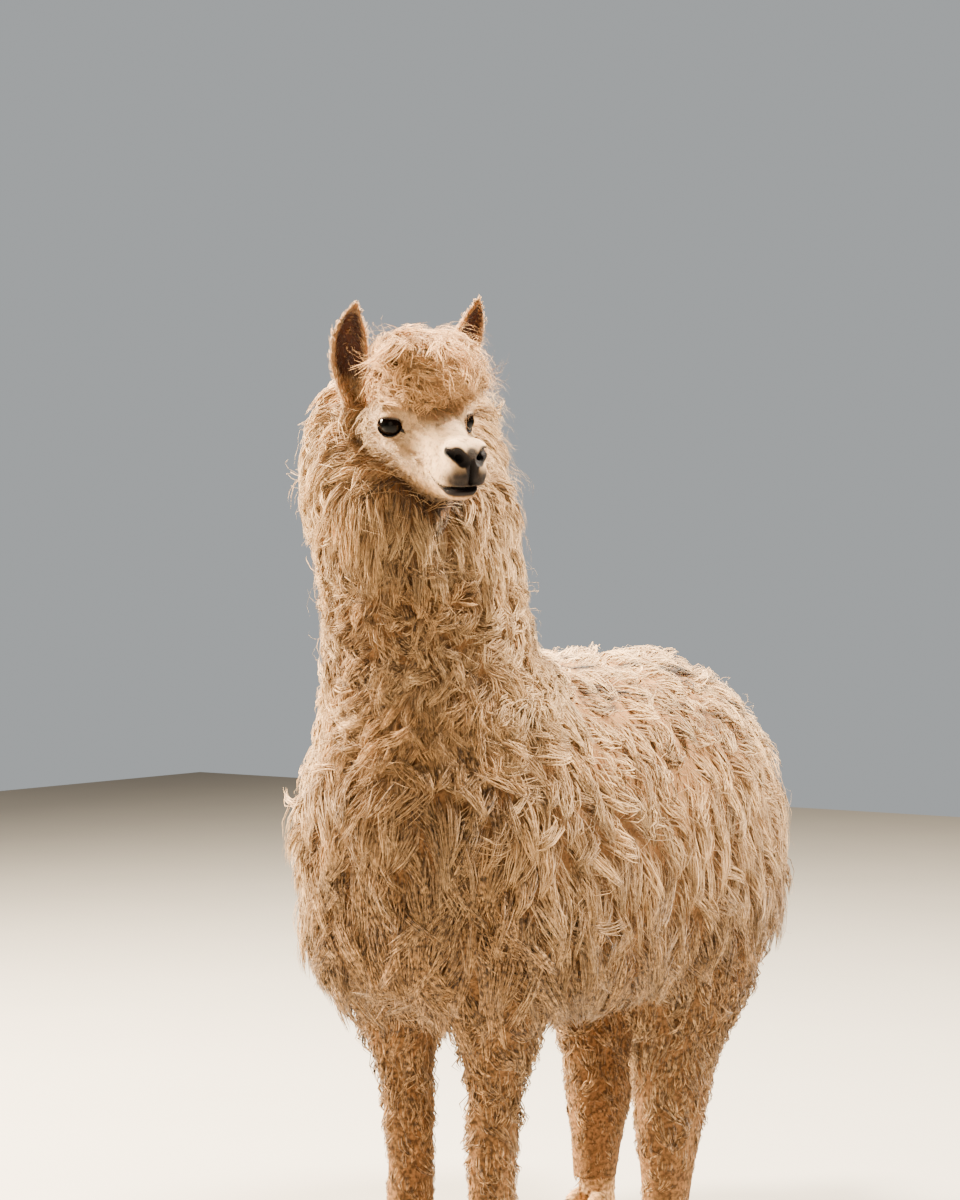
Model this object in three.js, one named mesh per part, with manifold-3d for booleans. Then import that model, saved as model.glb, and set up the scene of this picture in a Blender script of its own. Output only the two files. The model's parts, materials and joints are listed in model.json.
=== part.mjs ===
// A standing huacaya alpaca in full fleece, life-size, as a still model.
// The trunk faces -Y, the animal's left is +X, and the head is turned to its left.
// Every outline is that of the fleece's tips. Millimetres, +Z up, soles on z = 0.
import * as THREE from "three";
import { mergeVertices } from "three/addons/utils/BufferGeometryUtils.js";
import Module from "manifold-3d";

const wasm = await Module();
wasm.setup();

// ---- Driving dimensions ----
const GAP = 0.3; // between pieces that touch
const HEAD_TURN = 60; // degrees that the head is turned to the animal's left
const HEAD_TILT = 4.5; // degrees that its right side hangs lower
const NOSE_DROP = 18; // degrees that the nose points below the level
const EAR_SWAY = 7; // how far both ear tips lean to the left
const EYE_LINE = { x: 62, y: -411, z: 1283 }; // the point midway between the eyes
const LEG_TOP = 385; // height at which the legs leave the trunk
const KNEE = 265; // height of the front knees
const HOCK = 285; // height of the hocks
const FETLOCK = 72; // height at which the feet begin
const SMOOTHING = 0.14; // detail finer than this is left out of the solids
const SIDES = { left: 1, right: -1 };

// ---- Colours of the solids ----
const finish = (color, roughness) =>
  new THREE.MeshStandardMaterial({ color, roughness, metalness: 0 });
const FLEECE = finish("#e6d3b4", 0.95);
const TOPKNOT = finish("#dcb98a", 0.95);
const FACE = finish("#e9dac2", 0.85);
const EAR = finish("#b59a80", 0.85);
const EYE = finish("#0d0b0c", 0.08);
const FOOT = finish("#6d5a48", 0.8);
const NAIL = finish("#3a2f28", 0.45);

// ---- Shape tools ----
const X = new THREE.Vector3(1, 0, 0);
const Y = new THREE.Vector3(0, 1, 0);
const Z = new THREE.Vector3(0, 0, 1);
const BACK_TO_FRONT_X = X.clone().negate(); // across, for rings that advance along +Y

// A smooth function through a few [place, value] keys, held level past both ends.
function profile(...keys) {
  const places = keys.map((key) => key[0]);
  const spline = new THREE.CubicInterpolant(places, keys.map((key) => key[1]), 1);
  return (place) =>
    spline.evaluate(THREE.MathUtils.clamp(place, places[0], places.at(-1)))[0];
}

// A ring of points round an oval whose upper and lower halves may differ in height and power.
function ovalRing({ centre, across, up, halfWidth, above, below = above, ...shape }) {
  const { power = 2, lowerPower = power, sides = 24 } = shape;
  return Array.from({ length: sides }, (_, k) => {
    const turn = (2 * Math.PI * k) / sides;
    const blunt = 2 / (Math.sin(turn) > 0 ? power : lowerPower);
    const reach = (value) => Math.sign(value) * Math.abs(value) ** blunt;
    const rise = reach(Math.sin(turn));
    return centre
      .clone()
      .addScaledVector(across, halfWidth * reach(Math.cos(turn)))
      .addScaledVector(up, rise * (rise > 0 ? above : below));
  });
}

// A level ring of an oval that is turned, with its points kept at steady bearings.
function turnedRing({ centre, turn, halfWidth, halfDepth, power, sides }) {
  return Array.from({ length: sides }, (_, k) => {
    const bearing = (2 * Math.PI * k) / sides;
    const aside = Math.abs(Math.cos(bearing - turn)) / halfWidth;
    const ahead = Math.abs(Math.sin(bearing - turn)) / halfDepth;
    const radius = (aside ** power + ahead ** power) ** (-1 / power);
    return centre.clone().add(new THREE.Vector3(radius, 0, 0).applyAxisAngle(Z, bearing));
  });
}

// A closed skin over rings that advance along across x up, with a fan over each end.
function loft(rings) {
  const sides = rings[0].length;
  const middle = (ring) =>
    ring.reduce((sum, p) => sum.add(p), new THREE.Vector3()).divideScalar(sides);
  const points = [...rings.flat(), middle(rings[0]), middle(rings.at(-1))];
  const index = [];
  const last = (rings.length - 1) * sides;
  for (let k = 0; k < sides; k++) {
    const next = (k + 1) % sides;
    for (let row = 0; row < last; row += sides)
      index.push(
        ...[row + k, row + next, row + sides + next],
        ...[row + k, row + sides + next, row + sides + k],
      );
    index.push(points.length - 2, next, k, points.length - 1, last + k, last + next);
  }
  return new THREE.BufferGeometry().setFromPoints(points).setIndex(index);
}

// Places from start to end, closer together near both ends.
const easedPlaces = (start, end, count) =>
  Array.from({ length: count }, (_, i) => {
    const share = (1 - Math.cos((Math.PI * (i + 0.5)) / count)) / 2;
    return THREE.MathUtils.lerp(start, end, share);
  });
const evenPlaces = (start, end, count) =>
  Array.from({ length: count }, (_, i) => THREE.MathUtils.lerp(start, end, i / (count - 1)));

// An ellipsoid, turned by degrees about its own axes.
function ellipsoid([x, y, z], [rx, ry, rz], [tiltX, tiltY, tiltZ] = [0, 0, 0], sides = 20) {
  const rad = THREE.MathUtils.degToRad;
  return new THREE.SphereGeometry(1, sides, Math.round(sides * 0.6))
    .scale(rx, ry, rz)
    .rotateX(rad(tiltX))
    .rotateY(rad(tiltY))
    .rotateZ(rad(tiltZ))
    .translate(x, y, z);
}

function solid(geometry) {
  const bare = geometry.clone();
  bare.deleteAttribute("normal");
  bare.deleteAttribute("uv");
  const merged = mergeVertices(bare, 1e-3);
  return new wasm.Manifold(
    new wasm.Mesh({
      numProp: 3,
      vertProperties: new Float32Array(merged.attributes.position.array),
      triVerts: new Uint32Array(merged.index.array),
    }),
  );
}

const joined = (...solids) => solids.reduce((a, b) => a.add(b));
const cutBy = (whole, ...tools) => tools.reduce((a, b) => a.subtract(b), whole);

// The two sides of a cut along a plane, with the gap taken from both.
function parted(whole, point, normal) {
  const n = new THREE.Vector3(...normal).normalize();
  const offset = n.dot(new THREE.Vector3(...point));
  return {
    ahead: whole.trimByPlane(n.toArray(), offset + GAP / 2),
    behind: whole.trimByPlane(n.clone().negate().toArray(), GAP / 2 - offset),
  };
}

// A named mesh of the solid's largest body, which leaves out any sliver that a cut made.
function piece(name, made, material) {
  const body = made.decompose().reduce((a, b) => (b.volume() > a.volume() ? b : a));
  const { vertProperties, triVerts } = body.simplify(SMOOTHING).getMesh();
  const geometry = new THREE.BufferGeometry()
    .setAttribute("position", new THREE.BufferAttribute(vertProperties, 3))
    .setIndex(new THREE.BufferAttribute(triVerts, 1));
  geometry.computeVertexNormals();
  const mesh = new THREE.Mesh(geometry, material);
  mesh.name = name;
  return mesh;
}

// ---- Trunk: oval sections along its length, closing over the chest and the rump ----
const TRUNK = { middle: 22, halfLength: 524, rounding: 2.7, axisHeight: 640 };
const trunkWidth = profile([-500, 266], [-250, 268], [-60, 268], [150, 275], [360, 266], [544, 252]);
const trunkTop = profile(
  ...[[-490, 940], [-250, 985], [-50, 966], [120, 968], [270, 982], [400, 975], [544, 930]],
);
const trunkBottom = profile([-500, 368], [-300, 380], [-60, 396], [120, 404], [300, 396], [544, 380]);

function trunkLoft() {
  const { middle, halfLength, rounding, axisHeight } = TRUNK;
  const rings = easedPlaces(middle - halfLength, middle + halfLength, 17).map((y) => {
    const share = Math.abs(y - middle) / halfLength;
    const closing = (1 - share ** rounding) ** (1 / rounding);
    return ovalRing({
      centre: new THREE.Vector3(0, y, axisHeight),
      across: BACK_TO_FRONT_X,
      up: Z,
      halfWidth: trunkWidth(y) * closing,
      above: (trunkTop(y) - axisHeight) * closing,
      below: (axisHeight - trunkBottom(y)) * closing,
      power: 2.15,
      lowerPower: 2.9,
      sides: 22,
    });
  });
  return solid(loft(rings));
}

// ---- Neck: level sections from inside the chest up to the ruff behind the jaw ----
// Higher up they turn with the head, and the ruff leans back over the cheeks.
const neckX = profile([640, 0], [990, 0], [1085, -5], [1165, -22], [1220, -33], [1280, -51], [1372, -56]);
const neckY = profile(
  ...[[640, -250], [800, -278], [990, -328], [1085, -344], [1165, -347]],
  ...[[1220, -336], [1280, -314], [1330, -302], [1372, -300]],
);
const neckTurn = profile([900, 0], [1030, 20], [1150, 50], [1220, HEAD_TURN]);
const neckWidth = profile(
  ...[[640, 205], [740, 205], [800, 190], [870, 175], [940, 166], [1000, 161]],
  ...[[1085, 160], [1165, 163], [1220, 167], [1280, 160], [1320, 147], [1352, 113], [1372, 50]],
);
const neckDepth = profile(
  ...[[640, 225], [740, 222], [800, 205], [870, 186], [940, 172], [1000, 165]],
  ...[[1085, 159], [1165, 150], [1220, 130], [1280, 98], [1320, 78], [1352, 54], [1372, 25]],
);

function neckLoft() {
  const heights = [...evenPlaces(640, 1200, 9), ...evenPlaces(1240, 1372, 6)];
  const rings = heights.map((z) =>
    turnedRing({
      centre: new THREE.Vector3(neckX(z), neckY(z), z),
      turn: THREE.MathUtils.degToRad(neckTurn(z)),
      halfWidth: neckWidth(z),
      halfDepth: neckDepth(z),
      power: 2.1,
      sides: 22,
    }),
  );
  return solid(loft(rings));
}

// ---- Legs: level sections, woolly down to the fetlock ----
// Both left legs stand a step ahead of the right ones.
const LEG_FORMS = {
  front: {
    joint: KNEE,
    x: profile([60, 92], [265, 90], [420, 98], [560, 112]),
    y: {
      left: profile([60, -300], [265, -290], [420, -286], [560, -290]),
      right: profile([60, -246], [265, -252], [420, -268], [560, -290]),
    },
    width: profile([60, 36], [110, 41], [200, 44], [265, 49], [330, 55], [400, 74], [480, 90], [560, 80]),
    depth: profile([60, 40], [110, 45], [200, 48], [265, 55], [330, 66], [400, 94], [480, 112], [560, 90]),
  },
  hind: {
    joint: HOCK,
    x: profile([60, 104], [265, 108], [400, 122], [560, 128]),
    y: {
      left: profile([60, 174], [160, 182], [285, 196], [400, 216], [560, 240]),
      right: profile([60, 292], [160, 304], [285, 316], [400, 290], [560, 262]),
    },
    width: profile([60, 39], [110, 46], [200, 60], [285, 72], [340, 84], [400, 106], [480, 120], [560, 112]),
    depth: profile([60, 44], [110, 56], [200, 84], [285, 102], [340, 122], [400, 152], [480, 186], [560, 180]),
  },
};

const legCentre = (end, sideName, z) =>
  new THREE.Vector3(SIDES[sideName] * LEG_FORMS[end].x(z), LEG_FORMS[end].y[sideName](z), z);

function legLoft(end, sideName) {
  const { width, depth } = LEG_FORMS[end];
  const rings = evenPlaces(FETLOCK, 560, 8).map((z) =>
    ovalRing({
      centre: legCentre(end, sideName, z),
      across: X,
      up: Y,
      halfWidth: width(z),
      above: depth(z),
      power: 2.1,
      sides: 14,
    }),
  );
  return solid(loft(rings));
}

// ---- Feet: two toes on flat soles, each with one nail ----
const TOE = { length: 82, width: 34, height: 46, spread: 17.5, splay: 6 };
const NAIL_SIZE = { length: 24, width: 15, height: 15 };

// One half of a foot in its own frame: the toe points along -Y and its sole is at z = 0.
function toe() {
  const half = TOE.length / 2;
  const rings = easedPlaces(-half, half, 5).map((y) => {
    const share = Math.abs(y) / half;
    const closing = (1 - share ** 2.4) ** (1 / 2.4);
    const slope = THREE.MathUtils.lerp(0.62, 1, (y + half) / TOE.length);
    return ovalRing({
      centre: new THREE.Vector3(0, y - 10, 15),
      across: BACK_TO_FRONT_X,
      up: Z,
      halfWidth: (TOE.width / 2) * closing,
      above: (TOE.height - 15) * slope * closing,
      below: 19 * closing,
      power: 2.4,
      sides: 8,
    });
  });
  return solid(loft(rings)).trimByPlane([0, 0, 1], 0);
}

function toenail(grow = 0) {
  const { length, width, height } = NAIL_SIZE;
  const tip = [0, -TOE.length / 2 - 7, 17];
  return solid(
    ellipsoid(tip, [width / 2 + grow, length / 2 + grow, height / 2 + grow], [-24, 0, 0], 8),
  );
}

const placedToe = (made, foot, way) =>
  made.rotate(0, 0, way * TOE.splay).translate(foot.x + way * TOE.spread, foot.y, 0);

function footPieces(end, sideName, leg) {
  const foot = legCentre(end, sideName, 0);
  const ways = { inner: -SIDES[sideName], outer: SIDES[sideName] };
  const nails = Object.entries(ways).map(([word, way]) => ({
    name: `nail_${end}_${sideName}_${word}`,
    made: placedToe(toenail(), foot, way),
    room: placedToe(toenail(GAP), foot, way),
  }));
  const ankle = solid(ellipsoid([foot.x, foot.y + 8, 46], [32, 38, 40], [0, 0, 0], 8));
  const toes = Object.values(ways).map((way) => placedToe(toe(), foot, way));
  const whole = joined(...toes, ankle.trimByPlane([0, 0, 1], 12));
  const body = cutBy(
    whole.trimByPlane([0, 0, -1], GAP / 2 - FETLOCK),
    leg,
    ...nails.map((nail) => nail.room),
  );
  return [
    piece(`foot_${end}_${sideName}`, body, FOOT),
    ...nails.map((nail) => piece(nail.name, nail.made, NAIL)),
  ];
}

// ---- Tail: a short fleecy plume close to the rump ----
const TAIL = { bottom: 545, top: 890 };
const tailY = profile([545, 552], [640, 566], [720, 562], [800, 544], [860, 512], [890, 486]);
const tailWidth = profile([545, 16], [585, 44], [660, 57], [740, 56], [820, 46], [890, 26]);

function tailLoft() {
  const rings = evenPlaces(TAIL.bottom, TAIL.top, 8).map((z) =>
    ovalRing({
      centre: new THREE.Vector3(0, tailY(z), z),
      across: X,
      up: Y,
      halfWidth: tailWidth(z),
      above: tailWidth(z) * 0.6,
      sides: 12,
    }),
  );
  return solid(loft(rings));
}

// ---- Head, in its own frame: the middle of the eye line at the origin, the nose along -Y ----
// Sections run from the poll to the tip of the nose. Keys are [distance ahead of the eyes, size].
// The middle is the height at which the head is widest.
const headMiddle = profile([-106, -22], [-60, -14], [0, -10], [45, -26], [80, -36], [110, -38], [153, -30]);
const headTop = profile([-106, 16], [-60, 36], [-23, 41], [0, 39], [45, 29], [80, 20], [110, 13], [153, -2]);
const headBottom = profile(
  ...[[-106, -76], [-60, -112], [-23, -121], [0, -117], [45, -100], [80, -90], [118, -83], [153, -62]],
);
const headWidth = profile(
  ...[[-106, 60], [-60, 75], [-25, 72], [0, 59], [45, 43], [80, 36], [120, 33], [153, 28]],
);
const HEAD = { back: -106, nose: 153, rounding: 3.6 };
const EYE_BALL = { radius: 20, aside: 52, behind: 5 };
const MUZZLE_CUT = 78; // distance ahead of the eyes where the muzzle begins
const MOUTH = { ahead: 124, height: -55, slope: 0.04 };

// Rounded forms that stand out on each side: [aside, -ahead, up], [radii], [turns].
const FACE_FORMS = {
  orbit: [[44, 12, 4], [20, 25, 25], [0, 0, 0]],
  brow: [[42, 8, 22], [17, 24, 11], [0, 20, 14]],
  nostrilWing: [[16, -131, -5], [12, 14, 13], [0, 0, 0]],
  upperLip: [[13, -138, -38], [15, 16, 16], [0, 0, 0]],
};

function headShape(grow = 0) {
  const { back, nose, rounding } = HEAD;
  const middle = (back + nose) / 2;
  const half = (nose - back) / 2;
  const rings = easedPlaces(nose, back, 13).map((ahead) => {
    const closing = (1 - Math.abs((ahead - middle) / half) ** rounding) ** (1 / rounding);
    return ovalRing({
      centre: new THREE.Vector3(0, -ahead * (1 + grow / half), headMiddle(ahead)),
      across: BACK_TO_FRONT_X,
      up: Z,
      halfWidth: headWidth(ahead) * closing + grow,
      above: (headTop(ahead) - headMiddle(ahead)) * closing + grow,
      below: (headMiddle(ahead) - headBottom(ahead)) * closing + grow,
      power: 2.4,
      lowerPower: 2.1,
      sides: 18,
    });
  });
  const forms = Object.values(SIDES).flatMap((side) =>
    Object.values(FACE_FORMS).map(([[aside, y, up], size, [tiltX, tiltY, tiltZ]]) => {
      const grown = size.map((radius) => radius + grow);
      return solid(ellipsoid([side * aside, y, up], grown, [tiltX, side * tiltY, side * tiltZ], 8));
    }),
  );
  return joined(solid(loft(rings)), ...forms);
}

const eyeBall = (side, grow = 0) =>
  solid(
    new THREE.SphereGeometry(EYE_BALL.radius + grow, 12, 8).translate(
      side * EYE_BALL.aside,
      EYE_BALL.behind,
      0,
    ),
  );

// A short comma-shaped opening in the tip of the muzzle.
const nostril = (side) =>
  joined(
    solid(ellipsoid([side * 18, -143, -4], [8, 12, 6], [0, side * 25, side * 20], 7)),
    solid(ellipsoid([side * 11, -148, -11], [4.5, 10, 6], [0, side * 50, 0], 6)),
  );

// ---- Ears: spear-shaped, hollow in front, curving a little outwards ----
const earHalfWidth = profile(
  ...[[0, 15], [0.2, 21], [0.45, 27], [0.65, 24], [0.82, 16], [0.94, 7], [1, 2.2]],
);
const earHollow = profile([0, 20], [0.25, 17], [0.5, 13], [0.8, 6], [1, 1]);
const earThickness = profile([0, 7], [0.5, 4.5], [1, 2]);

// Each section is a crescent: the inner face is hollow and the outer face is round.
// A grown ear, which makes room for a real one, is filled across its hollow.
function earShape(side, grow = 0) {
  const base = new THREE.Vector3(side * 67, 102, 2);
  const bow = new THREE.Vector3(side * 90 + EAR_SWAY / 2, 92, 84);
  const tip = new THREE.Vector3(side * 95 + EAR_SWAY, 72, 160);
  const spine = new THREE.CatmullRomCurve3([base, bow, tip]);
  const facing = new THREE.Vector3(side * 0.24, -1, 0.3).normalize();
  const halfSides = 6;
  const rings = evenPlaces(0, 1, 10).map((share) => {
    const centre = spine.getPoint(share);
    const along = spine.getTangent(share);
    const across = new THREE.Vector3().crossVectors(facing, along).normalize();
    const front = new THREE.Vector3().crossVectors(along, across).normalize();
    const edge = (turn, size, depth) =>
      centre
        .clone()
        .addScaledVector(across, -Math.cos(turn) * size)
        .addScaledVector(front, -Math.sin(turn) * depth);
    const width = earHalfWidth(share) + grow;
    const back = earHollow(share) + earThickness(share) + grow;
    const hollow = grow > 0 ? -grow : earHollow(share);
    const outer = evenPlaces(0, Math.PI, halfSides + 1).map((t) => edge(t, width, back));
    const inner = evenPlaces(Math.PI, 0, halfSides + 1)
      .slice(1, -1)
      .map((t) => edge(t, width * 0.86, hollow));
    return [...outer, ...inner];
  });
  return solid(loft(rings));
}

// ---- Topknot: a mop of longer wool between the ears, hanging over the brow ----
function topknotShape(grow = 0) {
  const forms = [
    [[6, 33, 86], [76, 72, 50], [-18, 0, 0]],
    [[26, -18, 76], [57, 40, 36], [-18, 0, -8]],
    [[-38, 34, 96], [46, 46, 38], [-18, 0, 0]],
    [[4, 80, 52], [56, 42, 44], [0, 0, 0]],
  ];
  return joined(
    ...forms.map(([at, size, tilt]) =>
      solid(ellipsoid(at, size.map((r) => r + grow), tilt, 12)),
    ),
  );
}

// ---- Assembly ----
const alpaca = new THREE.Group();
const headGroup = new THREE.Group();
headGroup.position.set(EYE_LINE.x, EYE_LINE.y, EYE_LINE.z);
const headTurns = [NOSE_DROP, -HEAD_TILT, HEAD_TURN].map(THREE.MathUtils.degToRad);
headGroup.rotation.set(...headTurns, "ZYX");
headGroup.updateMatrix();
alpaca.add(headGroup);

const inBody = (made) => made.transform(headGroup.matrix.toArray());

function addHead() {
  const sides = Object.entries(SIDES);
  const eyeRooms = sides.map(([, side]) => eyeBall(side, GAP));
  const earRooms = sides.map(([, side]) => earShape(side, GAP));
  const nostrils = sides.map(([, side]) => nostril(side));
  const whole = cutBy(headShape(), ...eyeRooms, ...earRooms, ...nostrils);
  const bite = [0, -MOUTH.ahead, MOUTH.height];
  const jaw = parted(whole, bite, [0, -MOUTH.slope, -1]);
  const face = parted(jaw.behind, [0, -MUZZLE_CUT, 0], [0, -1, 0]);
  const topknot = cutBy(topknotShape(), headShape(GAP), ...earRooms);
  headGroup.add(
    piece("head", face.behind, FACE),
    piece("muzzle", face.ahead, FACE),
    piece("lower_jaw", jaw.ahead, FACE),
    piece("topknot", topknot, TOPKNOT),
  );
  for (const [word, side] of sides)
    headGroup.add(
      piece(`eye_${word}`, eyeBall(side), EYE),
      piece(`ear_${word}`, earShape(side), EAR),
    );
  return [headShape(GAP), topknotShape(GAP), ...earRooms].map(inBody);
}

function addBody(headRooms) {
  const neckline = { point: [0, -330, 872], normal: [0, -0.42, 0.9] };
  const legs = Object.keys(LEG_FORMS).flatMap((end) =>
    Object.keys(SIDES).map((word) => ({ end, word, whole: legLoft(end, word) })),
  );
  const uppers = legs.map(({ whole }) => parted(whole, [0, 0, LEG_TOP], Z.toArray()).ahead);
  const torso = joined(trunkLoft(), neckLoft(), ...uppers);
  const { ahead: neck, behind: trunk } = parted(torso, neckline.point, neckline.normal);
  const tail = tailLoft();
  alpaca.add(
    piece("neck", cutBy(neck, ...headRooms), FLEECE),
    piece("trunk", trunk, FLEECE),
    piece("tail", cutBy(tail, trunkLoft()).translate(0, GAP, 0), FLEECE),
  );
  for (const { end, word, whole } of legs) {
    const below = parted(whole, [0, 0, LEG_TOP], Z.toArray()).behind;
    const clear = cutBy(below, trunkLoft().translate(0, 0, -GAP));
    const joint = [0, 0, LEG_FORMS[end].joint];
    const { ahead: upper, behind: shank } = parted(clear, joint, Z.toArray());
    alpaca.add(
      piece(`leg_${end}_${word}`, upper, FLEECE),
      piece(`shank_${end}_${word}`, shank, FLEECE),
      ...footPieces(end, word, shank.translate(0, 0, -GAP)),
    );
  }
}

addBody(addHead());

// The origin is on the floor under the middle of the whole animal.
const part = new THREE.Group();
part.add(alpaca);
part.updateMatrixWorld(true);
const middle = new THREE.Box3().setFromObject(part, true).getCenter(new THREE.Vector3());
alpaca.position.set(-middle.x, -middle.y, 0);

export default part;
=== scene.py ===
"""Looks of a life-size huacaya alpaca: one skin, its eyes, its toenails and its fleece."""
import json
import math
import bpy
import numpy as np
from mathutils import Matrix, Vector
from mathutils.kdtree import KDTree

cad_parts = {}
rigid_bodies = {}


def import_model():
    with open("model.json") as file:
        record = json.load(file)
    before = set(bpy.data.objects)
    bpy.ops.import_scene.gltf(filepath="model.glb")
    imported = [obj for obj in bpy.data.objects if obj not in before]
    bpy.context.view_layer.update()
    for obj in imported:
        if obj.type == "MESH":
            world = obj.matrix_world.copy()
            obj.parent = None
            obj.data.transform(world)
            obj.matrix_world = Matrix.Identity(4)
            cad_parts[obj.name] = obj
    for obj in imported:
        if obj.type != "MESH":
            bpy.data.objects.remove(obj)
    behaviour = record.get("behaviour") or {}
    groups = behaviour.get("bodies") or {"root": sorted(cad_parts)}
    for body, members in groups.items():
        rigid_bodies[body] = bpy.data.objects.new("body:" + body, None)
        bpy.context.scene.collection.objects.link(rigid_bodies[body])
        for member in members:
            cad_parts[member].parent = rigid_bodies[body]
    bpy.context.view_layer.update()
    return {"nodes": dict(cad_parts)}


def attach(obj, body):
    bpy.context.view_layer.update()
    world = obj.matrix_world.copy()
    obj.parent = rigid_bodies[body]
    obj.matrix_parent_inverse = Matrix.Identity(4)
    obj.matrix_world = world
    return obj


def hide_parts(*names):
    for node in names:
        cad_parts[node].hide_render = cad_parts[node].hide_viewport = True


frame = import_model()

# ---- The drawing frame: millimetres, trunk facing -Y, the animal's left at +X, floor at z = 0 ----
HEAD_TURN, HEAD_TILT, NOSE_DROP = (math.radians(a) for a in (60, -4.5, 18))
EYE_LINE = np.array([62.0, -411.0, 1283.0])
CENTRING = np.array([0.0, -46.27, 0.0])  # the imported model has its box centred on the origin
SIDES = {"left": 1, "right": -1}
rng = np.random.default_rng(41)


def to_metres(points):
    return (points + CENTRING) / 1000


def turn_about(axis, angle):
    c, s = math.cos(angle), math.sin(angle)
    rows = {
        "x": [[1, 0, 0], [0, c, -s], [0, s, c]],
        "y": [[c, 0, s], [0, 1, 0], [-s, 0, c]],
        "z": [[c, -s, 0], [s, c, 0], [0, 0, 1]],
    }
    return np.array(rows[axis])


HEAD_AXES = turn_about("z", HEAD_TURN) @ turn_about("y", HEAD_TILT) @ turn_about("x", NOSE_DROP)


def to_head(points):
    """Places in the head's own frame: x to its left, -y ahead of the eyes, z up."""
    return (points - EYE_LINE) @ HEAD_AXES


def from_head(points):
    return points @ HEAD_AXES.T + EYE_LINE


def profile(*keys):
    """A smooth function through a few (place, value) keys, level past both ends."""
    places, values = np.array(keys, float).T
    slopes = np.gradient(values, places)
    fine = np.linspace(places[0], places[-1], 600)
    i = np.clip(np.searchsorted(places, fine) - 1, 0, len(places) - 2)
    step = places[i + 1] - places[i]
    t = (fine - places[i]) / step
    rise = values[i + 1] - values[i]
    curve = values[i] + t * step * slopes[i]
    curve += t**2 * (3 * rise - step * (2 * slopes[i] + slopes[i + 1]))
    curve += t**3 * (step * (slopes[i] + slopes[i + 1]) - 2 * rise)
    return lambda place: np.interp(place, fine, curve)


def smooth_join(a, b, blend):
    h = np.clip(0.5 + 0.5 * (b - a) / blend, 0, 1)
    return b + (a - b) * h - blend * h * (1 - h)


def smooth_cut(a, tool, blend):
    return -smooth_join(-a, tool, blend)


def ramp(value, start, end):
    t = np.clip((value - start) / (end - start), 0, 1)
    return t * t * (3 - 2 * t)


def ball(points, centre, radii):
    """A near distance to an ellipsoid."""
    q = points - np.array(centre)
    r = np.array(radii, float)
    k = np.linalg.norm(q / r, axis=1)
    return k * (k - 1) / np.maximum(np.linalg.norm(q / r**2, axis=1), 1e-6)


def rod(points, start, end, start_radius, end_radius):
    """A near distance to a tapering rod with round ends."""
    a, b = np.array(start, float), np.array(end, float)
    t = np.clip((points - a) @ (b - a) / ((b - a) @ (b - a)), 0, 1)
    away = np.linalg.norm(points - a - t[:, None] * (b - a), axis=1)
    return away - (start_radius + (end_radius - start_radius) * t)


def oval(a, b, half_a, half_b, power):
    return (np.abs(a / half_a) ** power + np.abs(b / half_b) ** power) ** (1 / power)


# ---- Forms of the body, each a near distance in millimetres, less than nought inside ----
TRUNK = {"middle": 22, "half_length": 524, "rounding": 2.7, "axis_height": 640}
trunk_width = profile((-500, 266), (-250, 268), (-60, 268), (150, 275), (360, 266), (544, 252))
trunk_top = profile(
    *((-490, 940), (-250, 985), (-50, 966), (120, 968), (270, 982), (400, 975), (544, 930)),
)
trunk_bottom = profile((-500, 368), (-300, 380), (-60, 396), (120, 404), (300, 396), (544, 380))


def trunk_form(p, coat=28):
    x, y, rise = p[:, 0], p[:, 1], p[:, 2] - TRUNK["axis_height"]
    above = trunk_top(y) - TRUNK["axis_height"] - coat
    below = TRUNK["axis_height"] - trunk_bottom(y) - coat
    half = np.where(rise > 0, above, below)
    power = np.where(rise > 0, 2.15, 2.9)
    width = trunk_width(y) - coat
    share = np.abs(y - TRUNK["middle"]) / (TRUNK["half_length"] - coat)
    r = TRUNK["rounding"]
    whole = (oval(x, rise, width, half, power) ** r + share**r) ** (1 / r)
    return (whole - 1) * np.minimum(width, half)


neck_x = profile((640, 0), (990, 0), (1085, -5), (1165, -22), (1220, -33), (1280, -51), (1372, -56))
neck_y = profile(
    *((640, -250), (800, -278), (990, -328), (1085, -344), (1165, -347)),
    *((1220, -336), (1280, -314), (1330, -302), (1372, -300)),
)
neck_turn = profile((900, 0), (1030, 20), (1150, 50), (1220, 60))
neck_width = profile(
    *((640, 205), (740, 205), (800, 190), (870, 175), (940, 166), (1000, 161)),
    *((1085, 160), (1165, 163), (1220, 167), (1280, 160), (1320, 147), (1352, 113), (1372, 50)),
)
neck_depth = profile(
    *((640, 225), (740, 222), (800, 205), (870, 186), (940, 172), (1000, 165)),
    *((1085, 159), (1165, 150), (1220, 130), (1280, 98), (1320, 78), (1352, 54), (1372, 25)),
)
neck_coat = profile((640, 28), (900, 22), (1100, 20), (1200, 24), (1372, 24))
NECK_TOP = 1372


def neck_form(p):
    z = p[:, 2]
    turn, coat = np.radians(neck_turn(z)), neck_coat(z)
    x, y = p[:, 0] - neck_x(z), p[:, 1] - neck_y(z)
    across = x * np.cos(turn) + y * np.sin(turn)
    ahead = y * np.cos(turn) - x * np.sin(turn)
    width = np.maximum(neck_width(z) - coat, 16)
    depth = np.maximum(neck_depth(z) - coat, 12)
    side = (oval(across, ahead, width, depth, 2.1) - 1) * np.minimum(width, depth)
    return smooth_cut(smooth_cut(side, NECK_TOP - 24 - z, 14), z - 690, 90)


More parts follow.
